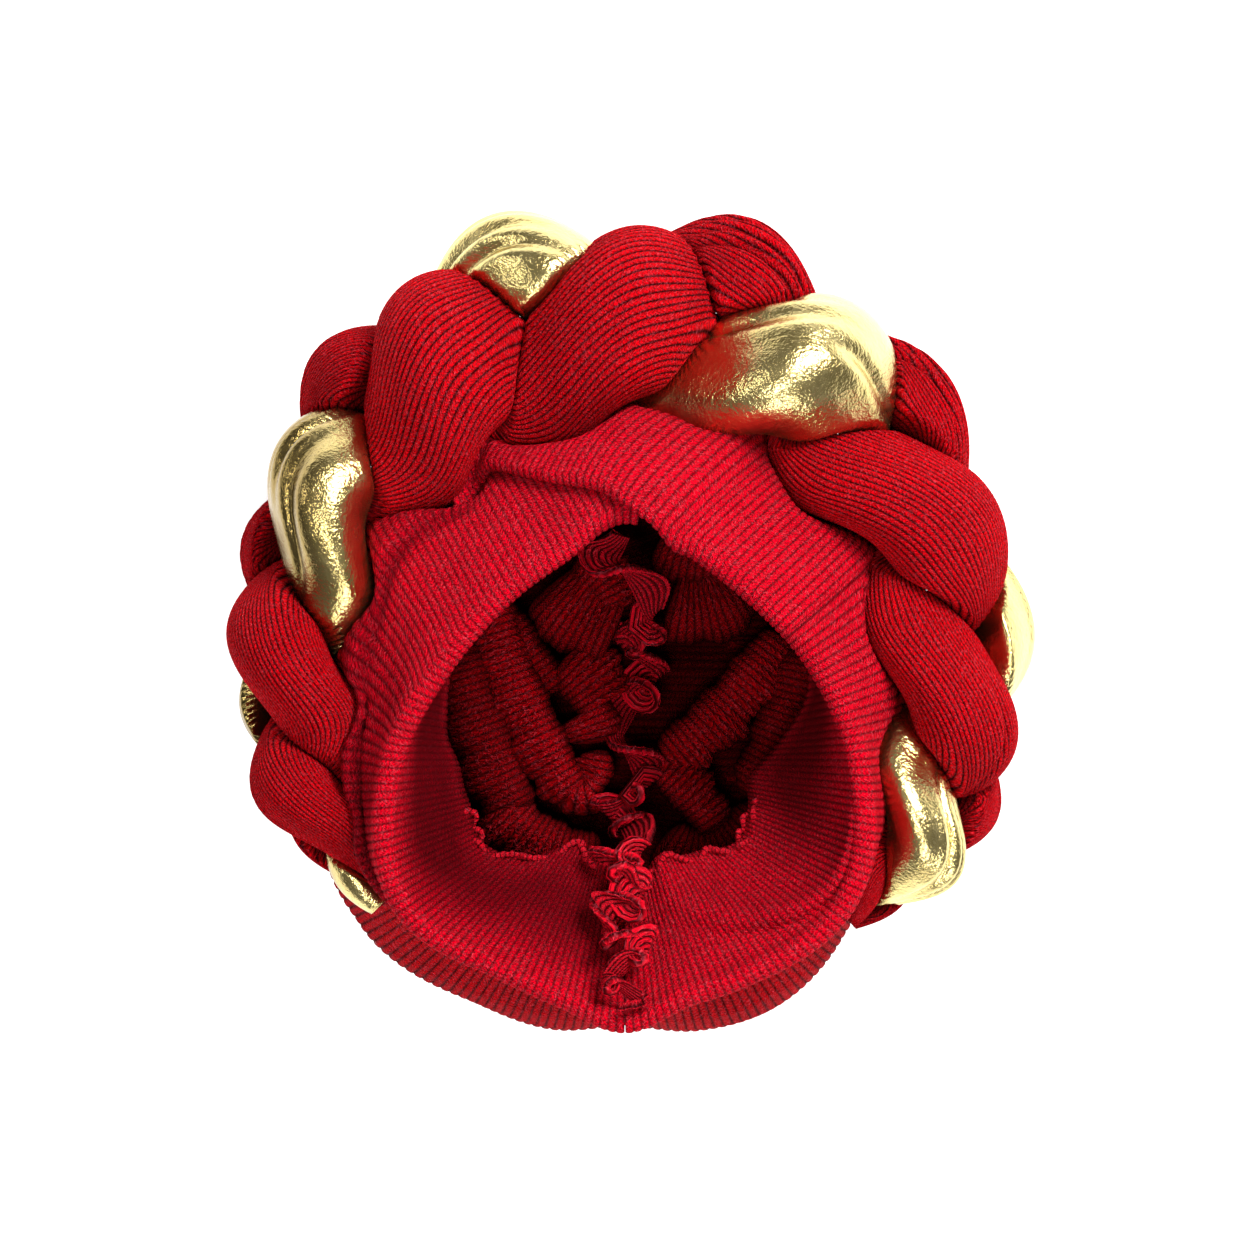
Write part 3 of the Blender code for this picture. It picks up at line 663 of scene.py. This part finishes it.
def wrap_middle(rim, edge_share, rib_turn, crossing):
    """Middle surface of a folded band, a row for each rim bearing: up the outer leg along the ribs, over the
    fold in a half circle, and down the inner leg on a quadratic curve."""
    rim = rim[:, None]
    edge_share = edge_share[:, None]
    crossing = crossing[:, None]
    lift = OVERLAP_LIFT * crossing
    radius = LEG_OFFSET + (FLAT_OFFSET - LEG_OFFSET) * crossing
    skirt = np.maximum(hem(rim, "skirt") + 0.04, edge_share + 0.06)
    share = edge_share + (skirt - edge_share) * np.linspace(1, 0, LEG_POINTS)[:-1]
    start, _, waist = wall_corners(rim)
    width = (waist - start)[..., 0]
    reach = start[..., 0] + width * share
    turned = rim + np.degrees(np.tan(np.radians(rib_turn[:, None])) * (share - edge_share) * width / reach)
    points, normal, down = wall(turned, share)
    rolled = ROLL * ease((share - ROLL_SHARE) / 0.05)
    rolled = rolled * ease((turned - ROLL_FROM) / 10) * ease((ROLL_TO - turned) / 25)
    rolled = rolled * (1 - 0.8 * ease((share - ROLL_SHARE - 0.08) / 0.25))
    outer = points + normal * (lift + radius + rolled)[..., None]
    points, normal, down = wall(rim, edge_share)
    turn = np.linspace(0, np.pi, FOLD_POINTS)[:, None]
    centre = points + normal * lift[..., None]
    fold = centre + radius[..., None] * (np.cos(turn) * normal - np.sin(turn) * down)
    lean = np.radians(hem(rim, "facing_lean"))
    hang = in_head(rim, np.sin(lean), -np.cos(lean)) - in_head(rim, 0.0, 0.0)
    hang = hang * (1 - crossing)[..., None] + down * crossing[..., None]
    facing = np.minimum(hem(rim, "facing_length"), 3 + 0.8 * np.abs(rim - 86))
    facing = facing * (1 - crossing) + 7.0 * crossing
    from_forehead = np.abs((rim + 90) % 360 - 180)
    loose = np.clip(facing / 30 - 0.4, 0, 1) * (0.35 + 0.65 * ease((from_forehead - 115) / 30))
    wave = FACING_WAVE * (np.sin(rim * 0.11) + 0.5 * np.sin(rim * 0.27 + 1.0)) * loose
    first = fold[:, -1:]
    last = first + hang * (facing + wave)[..., None]
    knee = first + down * np.minimum(7.0, facing / 2)[..., None]
    t = np.linspace(0, 1, FACING_POINTS)[1:, None]
    inner = (1 - t) ** 2 * first + 2 * t * (1 - t) * knee + t * t * last
    flutter = FACING_FLUTTER * np.sin(rim * 0.24 + 2.0 * np.sin(rim * 0.07)) * loose
    side = np.cross(hang, in_head(rim + 90.0, 1.0, 0.0) - in_head(rim + 90.0, 0.0, 0.0))
    inner = inner + side * (flutter[..., None] * t**3)
    pleat = FACING_PLEAT * np.exp(-(((rim[..., None] + 2 + 80 * t) / 9) ** 2)) * 4 * t * (1 - t)
    inner = inner + np.array([0.0, 0.0, 1.0]) * pleat
    return np.concatenate([outer, fold, inner], axis=1)


def add_serging(name, edge, material):
    """The overlocked edge of a facing: a thread-wrapped cord along it, whose girth swells at every stitch."""
    run = np.gradient(edge, axis=0)
    run /= np.linalg.norm(run, axis=1)[:, None]
    first = np.cross(run, [0.0, 0.0, 1.0])
    first /= np.linalg.norm(first, axis=1)[:, None]
    second = np.cross(run, first)
    along = np.concatenate([[0], np.cumsum(np.linalg.norm(np.diff(edge, axis=0), axis=1))])
    turn = np.radians(np.arange(SERGING_SIDES) * 360 / SERGING_SIDES)
    swell = 1 + 0.25 * np.sin(2 * np.pi * along[:, None] / SERGING_STITCH + 2 * turn)
    radius = (SERGING_RADIUS * swell)[..., None]
    ring = np.cos(turn)[:, None] * first[:, None] + np.sin(turn)[:, None] * second[:, None]
    grid = edge[:, None] + radius * ring
    rows = len(edge)
    faces, row, column = grid_quads(rows, SERGING_SIDES, True)
    coordinates = np.stack([along[row] / 1.6, column * 1.2], axis=-1).reshape(-1, 2)
    side = np.arange(SERGING_SIDES)
    caps = np.stack([side, side + (rows - 1) * SERGING_SIDES])
    caps[1] = caps[1][::-1]
    points = grid.reshape(-1, 3)
    shade = np.full(len(points), SERGING_LIGHT)
    coordinates = np.concatenate([coordinates, np.ones((caps.size, 2))])
    obj = add_mesh(name, points, [faces, caps], coordinates, material, shade)
    return obj


def strip_ends(rows, columns):
    """The quads that close both ends of a band whose columns run over one face and back over the other."""
    i = np.arange(columns // 2 - 1)
    strip = np.stack([i, i + 1, columns - 2 - i, columns - 1 - i], axis=1)
    return np.concatenate([strip[:, ::-1], strip + (rows - 1) * columns])


def wrap_shade(rim, edge_share, columns):
    """Shades of a band's middle surface. The outer leg darkens by smooth steps towards its hem, in the roll
    and over the left side, and the facing darkens as it hangs, most of all at the head's two sides."""
    shade = np.ones((len(rim), columns))
    outside = np.linspace(1, 0, LEG_POINTS)
    share = (np.maximum(hem(rim, "skirt") + 0.04, edge_share + 0.06)[:, None] * outside)[:, :-1]
    rolling = (ease((rim - ROLL_FROM) / 10) * ease((ROLL_TO - rim) / 25))[:, None]
    left = (ease((rim - 145) / 25) * ease((250 - rim) / 30))[:, None]
    outer = 1 - 0.45 * ease((share - 0.55) / 0.25)
    outer = outer * (1 - 0.7 * rolling * np.exp(-(((share - ROLL_SHARE) / 0.035) ** 2)))
    shade[:, : LEG_POINTS - 1] = outer * (1 - SIDE_BAND * left * ease((share - 0.08) / 0.12))
    hung = np.linspace(0, 1, FACING_POINTS + 1)[1:]
    dark = LEFT_DARK * ease((rim - 140) / 30) + RIGHT_DARK * ease((45 - rim) / 30) * ease((rim + 50) / 60)
    sides = ease((rim - 140) / 20) * ease((215 - rim) / 20) + ease((45 - rim) / 20) * ease((rim + 30) / 20)
    dark = dark + SIDE_DARK * sides
    dark = (dark + FACING_DARK)[:, None] * (ease((hung - 0.05) / 0.7) - 0.3 * ease((hung - 0.8) / 0.15))
    shade[:, -FACING_POINTS:] = 1 - np.minimum(dark, 0.9)
    return shade


def add_wrap(name, rim_from, rim_to, edge_share_of, rib_turn_of, crossing_of, material):
    """A folded band with a rounded rib every RIB_WIDTH along its rim, on both faces."""
    dense = np.linspace(rim_from, rim_to, 800)
    points, _, _ = wall(dense, edge_share_of(dense))
    along = np.concatenate([[0], np.cumsum(np.linalg.norm(np.diff(points, axis=0), axis=1))])
    ribs = int(along[-1] / RIB_WIDTH)
    rows = ribs * WRAP_SAMPLES + 1
    rim = np.interp(np.linspace(0, along[-1], rows), along, dense)
    middle = wrap_middle(rim, edge_share_of(rim), rib_turn_of(rim), crossing_of(rim))
    count = np.arange(rows) / WRAP_SAMPLES
    normal = normals_of(middle, False)
    half = (KNIT / 2 + WRAP_RIB_HEIGHT * (rib_profile(count) - 0.6))[:, None, None]
    grid = np.concatenate([middle + normal * half, (middle - normal * half)[:, ::-1]], axis=1)
    columns = grid.shape[1]
    step = np.linalg.norm(np.diff(grid, axis=1), axis=-1)
    length = np.concatenate([np.zeros((rows, 1)), np.cumsum(step, axis=1)], axis=1)
    length = np.concatenate([length, length[:, -1:] + 2.0], axis=1)
    faces, row, column = grid_quads(rows, columns, True)
    coordinates = np.stack([row / WRAP_SAMPLES, length[row, column]], axis=-1).reshape(-1, 2)
    ends = strip_ends(rows, columns)
    end_place = np.stack([ends.ravel() * 0.1, ends.ravel() * 0.1], axis=-1)
    shade = wrap_shade(rim, edge_share_of(rim), middle.shape[1])
    shade = np.concatenate([shade, shade[:, ::-1]], axis=1).ravel()
    coordinates = np.concatenate([coordinates, end_place])
    obj = add_mesh(name, grid.reshape(-1, 3), [faces, ends], coordinates, material, shade)
    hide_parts(name)
    hanging = (rim < HANGS_BELOW) | (rim > HANGS_ABOVE)
    hung = middle[hanging][::2]
    out = normal[hanging][::2, -1]
    back = hung[:, -1] - hung[:, -3]
    back = back / np.linalg.norm(back, axis=1)[:, None]
    number = np.arange(len(hung))[:, None]
    edges = []
    for label, turn in (("_facing_edge", 0.0), ("_facing_thread", 2.2)):
        wander = 2.2 * np.sin(0.42 * number + 1.6 * np.sin(0.09 * number) + turn)
        lean = 2.2 * np.sin(0.31 * number + 2 * turn) - 1.2
        edges.append(add_serging(name + label, hung[:, -1] + wander * out + lean * back, seam_red))
    return obj, edges


# Lighter copies of the same knit, a painted light: the seam strip, and the wraps brightest of all.
seam_red = knit_paint("seam_red_knit", (0.05, 0.0, 0.001, 1.0), (0.86, 0.004, 0.02, 1.0), 0.8)
wrap_red = knit_paint("wrap_red_knit", (0.08, 0.0, 0.002, 1.0), (0.92, 0.0, 0.016, 1.0), 0.45, 0.7)
left_wrap, left_edge = add_wrap(
    "left_wrap",
    87,
    270 - NAPE_GAP,
    lambda rim: 0 * rim,
    lambda rim: np.clip(LEFT_RIB_WAY - rim, -50, 25) * ease((185 - rim) / 30),
    lambda rim: 0 * rim,
    wrap_red,
)
right_wrap, right_edge = add_wrap(
    "right_wrap",
    -90 + NAPE_GAP,
    125,
    crossing_share,
    lambda rim: -np.maximum(rim - RIGHT_RIB_WAY - 12 * ease((rim - 85) / 30), 0) * 0.95,
    lambda rim: ease((rim - 76) / 9),
    wrap_red,
)


# The crown: one wall of the ribbed knit, a deep cap whose cut edge is tucked inside the folded wraps. It is
# gathered along a centre seam from nape to forehead, and its slack lies inside in soft folds.

SEAM_FRONT = 84.0
SEAM_BACK = 50.0
TUCK_DEPTH = 11.0
CROSSING_TUCK = 16.0
CROWN_RIBS = 188
CROWN_SAMPLES = 4
CROWN_RIB_HEIGHT = 0.5
OUTER_ROWS = 36
INNER_ROWS = 48
FOOT = 6
Fold = namedtuple("Fold", "x0 y0 x1 y1 x2 y2 x3 y3 top half_width light")
FOLDS = [
    Fold(-49, 12, -41, -16, -32, -44, -18, -62, 48, 6.5, 1.0),
    Fold(-24, -58, -15, -64, -11, -58, -10, -46, 46, 4.5, 1.0),
    Fold(-62, -2, -55, -28, -49, -48, -38, -68, 44, 8.0, 0.5),
    Fold(-33, 10, -24, 0, -14, -4, -7, -7, 46, 11.0, 0.7),
    Fold(-26, -15, -17, -22, -11, -32, -9, -43, 44, 7.5, 0.9),
    Fold(-43, 4, -37, -7, -32, -14, -25, -24, 42, 4.5, 0.7),
    Fold(-20, 22, -12, 16, -8, 12, -6, 4, 46, 7.0, 0.6),
    Fold(12, 3, 21, 0, 31, 1, 42, 9, 42, 10.0, 0.55),
    Fold(52, -4, 42, -18, 29, -34, 9, -49, 44, 6.5, 1.0),
    Fold(7, -51, 16, -58, 23, -66, 29, -76, 40, 5.5, 0.75),
    Fold(59, -10, 56, -28, 51, -44, 40, -62, 44, 8.0, 0.55),
    Fold(8, 26, 16, 22, 24, 20, 36, 22, 44, 8.0, 0.45),
    Fold(-47, -62, -38, -76, -24, -84, -10, -82, 42, 8.0, 0.6),
    Fold(12, -76, 24, -87, 38, -80, 46, -66, 40, 8.0, 0.5),
]
FOLD_STATIONS = 84
FOLD_SIDES = 28
FOLD_RIB = 2.6
FOLD_TALL = 18.0
FOLD_SKEW = 2.1


def through(knots, places):
    """Points of cubic curves through knots, one curve a column, at places counted in knots."""
    gap = np.linalg.norm(np.diff(knots, axis=0), axis=-1)[..., None]
    chord = np.diff(knots, axis=0) / gap
    inside = (gap[1:] * chord[:-1] + gap[:-1] * chord[1:]) / (gap[1:] + gap[:-1])
    slope = np.concatenate([chord[:1], inside, chord[-1:]])
    i = np.minimum(places.astype(int), len(knots) - 2)
    t = (places - i)[:, None, None]
    return cubic(t, gap[i], knots[i], knots[i + 1], slope[i], slope[i + 1])


def crown_middle(bearing, places):
    """Middle surface of the crown's wall, a row for each place: 0 at the tucked edge, 4 at the waist, 5 at
    the belly, 6 at the foot and 8 on the centre seam, and how far the gathers lift each point."""
    start, bend, waist = wall_corners(bearing)
    tuck = TUCK_DEPTH + CROSSING_TUCK * np.exp(-(((bearing - 87) / 8) ** 2))
    tuck = tuck / np.linalg.norm(waist - start, axis=-1)
    knots = []
    for share in (tuck, (tuck + 0.6) / 2, 0.6, 0.8, 1.0):
        t = (share + 0 * tuck)[:, None]
        section = (1 - t) ** 2 * start + 2 * t * (1 - t) * bend + t * t * waist
        knots.append(in_head(bearing, section[:, 0], section[:, 1]))
    knots.append(in_head(bearing, crown(bearing, "belly_reach"), crown(bearing, "belly_height")))
    knots.append(in_head(bearing, crown(bearing, "foot_reach"), 0.0))
    lengthwise = np.sin(np.radians(bearing))
    along = lengthwise * np.where(lengthwise > 0, SEAM_FRONT, SEAM_BACK)
    rise = 16 + 62 * np.maximum(0, -lengthwise) ** 2 + 30 * np.maximum(0, lengthwise) ** 4
    seam = np.stack([HEAD_CENTRE[0] + 0 * along, HEAD_CENTRE[1] + along, rise], axis=-1)
    inner = knots[-1] * 0.6 + seam * 0.4
    inner[:, 2] = 0
    points = through(np.array([*knots, inner, seam]), places)
    points[..., 2] = np.maximum(points[..., 2], CROWN_WALL / 2)
    shares = np.stack([tuck, (tuck + 0.6) / 2, 0.6 + 0 * tuck, 0.8 + 0 * tuck, 1 + 0 * tuck, 1.4 + 0 * tuck])
    step = np.minimum(places.astype(int), 4)
    between = np.minimum(places - step, 1)[:, None]
    share = shares[step] * (1 - between) + shares[step + 1] * between
    side = ease((5.8 - places) / 0.8)[:, None, None]
    points = points + side * (clear_of_braid(points, wall_room(bearing, share)) - points)
    free = np.clip(places - FOOT, 0, 1)[:, None]
    gathers = 1.6 * np.sin(np.radians(bearing * 19)) + 1.2 * np.sin(np.radians(bearing * 31 + 40))
    hanging = ease((8 - places) / 0.5)[:, None]
    return points, gathers * free * hanging * free * (2 - free)


def crown_normals(points):
    """Normals of a crown surface that point into the hollow, smoothed across the centre seam."""
    normal = -normals_of(points, True)
    mirror = -np.arange(points.shape[1]) % points.shape[1]
    normal[-1] = normal[-1] + normal[-1][mirror]
    return normal / np.maximum(np.linalg.norm(normal, axis=-1), 1e-9)[..., None]


def crown_face(bearing, places, side, count):
    """One face of the crown's wall, on the hollow's side (1) or outside (-1), with its ribs."""
    points, lift = crown_middle(bearing, places)
    points = points + crown_normals(points) * lift[..., None]
    width = np.linalg.norm(np.roll(points, -1, axis=1) - points, axis=-1) * CROWN_SAMPLES
    relief = CROWN_RIB_HEIGHT * (rib_profile(count) - 0.6) * np.minimum(width / RIB_WIDTH, 1)
    return points + crown_normals(points) * (side * (CROWN_WALL / 2 + relief))[..., None]


def fold_rolls():
    """(points, quads, caps, places, shades) of each soft fold: a tall oval carried along a cubic Bezier curve
    and tapered at its ends, with a rib every FOLD_RIB along it, like ribs over a pleat."""
    gathered = []
    start = 0
    t = np.linspace(0, 1, FOLD_STATIONS)[:, None]
    turn = np.radians(np.arange(FOLD_SIDES) * 360 / FOLD_SIDES + 90)
    faces, row, column = grid_quads(FOLD_STATIONS, FOLD_SIDES, True)
    side_number = np.arange(FOLD_SIDES)
    caps = np.stack([side_number, side_number[::-1] + (FOLD_STATIONS - 1) * FOLD_SIDES])
    for number, fold in enumerate(FOLDS):
        knots = np.array(fold[:8], float).reshape(4, 2)
        weights = np.concatenate([(1 - t) ** 3, 3 * t * (1 - t) ** 2, 3 * t * t * (1 - t), t**3], axis=1)
        path = weights @ knots
        run = np.gradient(path, axis=0)
        along = np.concatenate([[0], np.cumsum(np.linalg.norm(np.diff(path, axis=0), axis=1))])
        run /= np.linalg.norm(run, axis=1)[:, None]
        across = np.stack([run[:, 1], -run[:, 0]], axis=1)
        taper = np.sqrt(np.maximum(1 - (2 * t - 1) ** 6, 0.04))
        gone = along[:, None]
        wave = 1 + 0.10 * np.sin(gone * 0.35 + number) + 0.06 * np.sin(gone * 0.8 + 2 * turn)
        relief = 0.45 * (rib_profile(along / FOLD_RIB)[:, None] - 0.5)
        half = fold.half_width * taper * wave + relief
        tall = FOLD_TALL * taper + relief
        top = fold.top - 10 * (1 - taper) + 1.5 * np.sin(gone * 0.25 + 2.0 * number)
        outward = np.sign((across * (path - np.array(HEAD_CENTRE))).sum(axis=1))[:, None] * np.cos(turn)
        half = half * (1 + (FOLD_SKEW - 1) * ease(outward))
        flat = path[:, None] + across[:, None] * (half * np.cos(turn))[..., None]
        height = top - tall * (1 - np.sin(turn))
        grid = np.concatenate([flat, np.maximum(height, 1.5)[..., None]], axis=-1)
        round_share = (side_number + FOLD_SIDES // 2) % FOLD_SIDES / FOLD_SIDES
        round_way = 2 * fold.half_width * (round_share * 3)
        places = np.stack([along[row] / FOLD_RIB, round_way[column % FOLD_SIDES]], axis=-1).reshape(-1, 2)
        lit = fold.light * (0.08 + 0.92 * ease((np.sin(turn) + 0.25 * ease(outward)) / 1.0)) * taper
        gathered.append((grid.reshape(-1, 3), faces + start, caps + start, places, lit.ravel()))
        start += grid.shape[0] * grid.shape[1]
    return gathered


def add_crown(material):
    """The crown as one grid, its outside from the seam up to the tucked edge and its inside back down, with
    the two halves of each seam row merged, and its soft folds."""
    columns = CROWN_RIBS * CROWN_SAMPLES
    bearing = -90 + 360 * np.arange(columns) / columns
    count = np.arange(columns) / CROWN_SAMPLES
    outer_places = 8 * (1 - np.linspace(0, 1, OUTER_ROWS) ** 0.8)[::-1]
    inner_places = 8 * np.linspace(0, 1, INNER_ROWS) ** 0.65
    outer = crown_face(bearing, outer_places, -1, count)
    inner = crown_face(bearing, inner_places, 1, count)
    outer[..., 2] = np.maximum(outer[..., 2], 0.0)
    # Painted shade: the hollow's inner face darkens with depth.
    deep = 0.12 + 0.75 * ease((inner[..., 2] - 20) / 105)
    grid = np.concatenate([outer[::-1], inner])
    rows = len(grid)
    height = outer[::-1][..., 2]
    # Painted light and shade on the outer face: darker towards the floor, a little over-bright higher up, and
    # a painted shadow line just under the wraps' hem.
    under = 0.3 + 0.85 * ease((height - 25) / 45) - 0.65 * np.exp(-(((height - 101) / 10) ** 2))
    shade = np.concatenate([under, deep])
    step = np.linalg.norm(np.diff(grid, axis=0), axis=-1)
    length = np.concatenate([np.zeros((1, columns)), np.cumsum(step, axis=0)])
    faces, row, column = grid_quads(rows, columns, True)
    coordinates = np.stack([column / CROWN_SAMPLES, length[row, column % columns]], axis=-1).reshape(-1, 2)
    # The first and last rows lie on the seam, where a column and its mirror image share one point.
    number = np.arange(rows * columns)
    place = np.minimum(number % columns, -number % columns)
    ends = (number < columns) | (number >= (rows - 1) * columns)
    merged = np.where(ends, number - number % columns + place, number)
    for end in (0, rows - 1):
        seam = grid[end].copy()
        grid[end] = (seam + seam[-np.arange(columns) % columns]) / 2
    used, faces = np.unique(merged[faces], return_inverse=True)
    faces = faces.reshape(-1, 4)[:, ::-1]
    coordinates = coordinates.reshape(-1, 4, 2)[:, ::-1].reshape(-1, 2)
    rolls = fold_rolls()
    points = np.concatenate([grid.reshape(-1, 3)[used], *(roll[0] for roll in rolls)])
    shade = np.concatenate([shade.ravel()[used], *(roll[4] for roll in rolls)])
    quads = np.concatenate([faces, *(roll[1] + len(used) for roll in rolls)])
    caps = np.concatenate([roll[2] + len(used) for roll in rolls])
    coordinates = np.concatenate([coordinates, *(roll[3] for roll in rolls), np.zeros((caps.size, 2))])
    obj = add_mesh("crown", points, [quads, caps], coordinates, material, shade)
    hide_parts("crown")
    return obj


# The darkest copy of the same knit, a painted shade.
crown_piece = add_crown(knit_paint("crown_red_knit", (0.03, 0.0, 0.0, 1.0), (0.62, 0.0, 0.005, 1.0)))


# The seam ruffle: the crown's gathered seam allowance, a thin strip of stretched knit that stands up inside
# along the centre seam, curls from side to side and has an overlocked thread edge.

STRIP_STATIONS = 56
RUFFLE_FROM = -134
RUFFLE_RUN = 164
RUFFLE_TIGHT = 0.34
RUFFLE_ROWS = 560
RUFFLE_LINES = 7
RUFFLE_SAMPLES = 4
RUFFLE_THICK = 1.5
RUFFLE_TALL = 11.5
RUFFLE_SWAY = 6.0
RUFFLE_LOOP = 2.4


def ruffle_base(y):
    """Height of the strip's foot at places along the seam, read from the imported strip."""
    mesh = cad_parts["centre_seam_ruffle"].data
    place = np.zeros(len(mesh.vertices) * 3)
    mesh.vertices.foreach_get("co", place)
    place = place.reshape(-1, 3) / MM
    order = np.argsort(place[:, 1])
    place = place[order]
    groups = np.array_split(np.arange(len(place)), STRIP_STATIONS)
    low = np.array([place[group, 2].min() for group in groups])
    centre = np.array([place[group, 1].mean() for group in groups])
    return np.interp(y, centre, low)


def add_ruffle(material):
    """A ribbon whose foot runs in loops, x as the sine of a phase and y as the sine of twice it, and whose
    top leans over as the same phase runs on. The loops are closer over its first RUFFLE_TIGHT."""
    t = np.linspace(0, 1, RUFFLE_ROWS)
    line = RUFFLE_FROM + RUFFLE_RUN * t
    tight = ease((RUFFLE_TIGHT - t) / 0.2)
    phase = 2 * np.pi * (5.4 * t + 5.0 * np.minimum(t, RUFFLE_TIGHT) + 0.12 * np.sin(17 * t))
    sway = RUFFLE_SWAY * (0.75 + 0.5 * tight) * np.sin(phase)
    x = HEAD_CENTRE[0] + sway + 5.5 * np.exp(-(((line + 15) / 38) ** 2))
    y = line + RUFFLE_LOOP * np.sin(2 * phase)
    foot = np.stack([x, y, ruffle_base(line)], axis=-1)
    lean = 0.9 * np.sin(phase - 0.9) + 0.3 * np.sin(2.3 * phase + 0.6)
    run = np.gradient(foot, axis=0)
    run /= np.linalg.norm(run, axis=1)[:, None]
    side = np.cross(run, [0.0, 0.0, 1.0])
    side /= np.linalg.norm(side, axis=1)[:, None]
    share = np.linspace(0, 1, RUFFLE_LINES * RUFFLE_SAMPLES + 1)
    tall = RUFFLE_TALL * ((1 + 0.25 * np.sin(3.1 * phase + 1.0)) * (0.3 + 0.7 * ease(t / 0.16)))[:, None]
    curl = lean[:, None] * (0.5 + 0.9 * share)
    across = tall * share * np.sin(curl)
    up = tall * share * np.cos(curl)
    middle = foot[:, None] + side[:, None] * across[..., None] + up[..., None] * np.array([0.0, 0.0, 1.0])
    normal = normals_of(middle, False)
    edge = np.exp(-(((share - 0.96) / 0.06) ** 2)) * (1 + 0.5 * np.sin(np.arange(RUFFLE_ROWS)[:, None] * 2.1))
    half = RUFFLE_THICK / 2 + 0.4 * (rib_profile(share * RUFFLE_LINES) - 0.5) + 0.55 * edge
    half = half[..., None]
    grid = np.concatenate([middle + normal * half, (middle - normal * half)[:, ::-1]], axis=1)
    columns = grid.shape[1]
    length = np.concatenate([[0], np.cumsum(np.linalg.norm(np.diff(foot, axis=0), axis=1))])
    faces, row, column = grid_quads(RUFFLE_ROWS, columns, True)
    coordinates = np.stack([column / RUFFLE_SAMPLES, length[row] * 1.5], axis=-1).reshape(-1, 2)
    ends = strip_ends(RUFFLE_ROWS, columns)
    end_place = np.stack([ends.ravel() * 0.1, ends.ravel() * 0.1], axis=-1)
    lit = 0.1 + 1.1 * rib_profile(share * RUFFLE_LINES) ** 2 + 1.2 * edge
    shade = np.concatenate([lit, lit[:, ::-1]], axis=1)
    obj = add_mesh(
        "centre_seam_ruffle",
        grid.reshape(-1, 3),
        [faces, ends],
        np.concatenate([coordinates, end_place]),
        material,
        shade.ravel(),
    )
    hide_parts("centre_seam_ruffle")
    return obj


ruffle = add_ruffle(seam_red)


# Floor, lights and camera: a white table under soft lamps, the strongest beyond the forehead on the right,
# and a camera straight above, as the wrap was photographed.

floor_mesh = bpy.data.meshes.new("floor")
floor_mesh.from_pydata([(-4, -4, 0), (4, -4, 0), (4, 4, 0), (-4, 4, 0)], [], [(0, 1, 2, 3)])
floor_paint = Paint("white_floor", Base_Color=(0.9, 0.9, 0.9, 1.0), Roughness=0.9)
floor_paint.set(Emission_Color=(1.0, 1.0, 1.0, 1.0), Emission_Strength=0.7)
floor_mesh.materials.append(floor_paint.material)
floor = bpy.data.objects.new("floor", floor_mesh)
bpy.context.scene.collection.objects.link(floor)
floor.location.z = -0.0005


def add_light(name, place, size, power):
    """A square soft light at a place in metres, aimed at the wrap."""
    light = bpy.data.lights.new(name, "AREA")
    light.size = size
    light.energy = power
    obj = bpy.data.objects.new(name, light)
    obj.location = place
    obj.rotation_euler = (Vector((0, 0, 0.06)) - Vector(place)).to_track_quat("-Z", "Y").to_euler()
    bpy.context.scene.collection.objects.link(obj)
    return obj


add_light("key", (0.8, 0.9, 1.3), 0.7, 38)
add_light("fill", (-1.2, 0.6, 1.1), 0.3, 3.5)
add_light("back", (0.3, -1.3, 1.0), 0.5, 8)
add_light("over", (-0.15, -0.35, 1.9), 0.4, 13)

world = bpy.data.worlds.new("studio")
world.use_nodes = True
world.node_tree.nodes["Background"].inputs["Color"].default_value = (1.0, 1.0, 1.0, 1.0)
world.node_tree.nodes["Background"].inputs["Strength"].default_value = 0.15
bpy.context.scene.world = world
bpy.context.scene.view_settings.view_transform = "Standard"

camera_data = bpy.data.cameras.new("camera")
camera_data.sensor_width = 36
camera_data.lens = 164
camera = bpy.data.objects.new("camera", camera_data)
camera.location = (-0.0018, -0.002, 2.075)
bpy.context.scene.collection.objects.link(camera)
bpy.context.scene.camera = camera
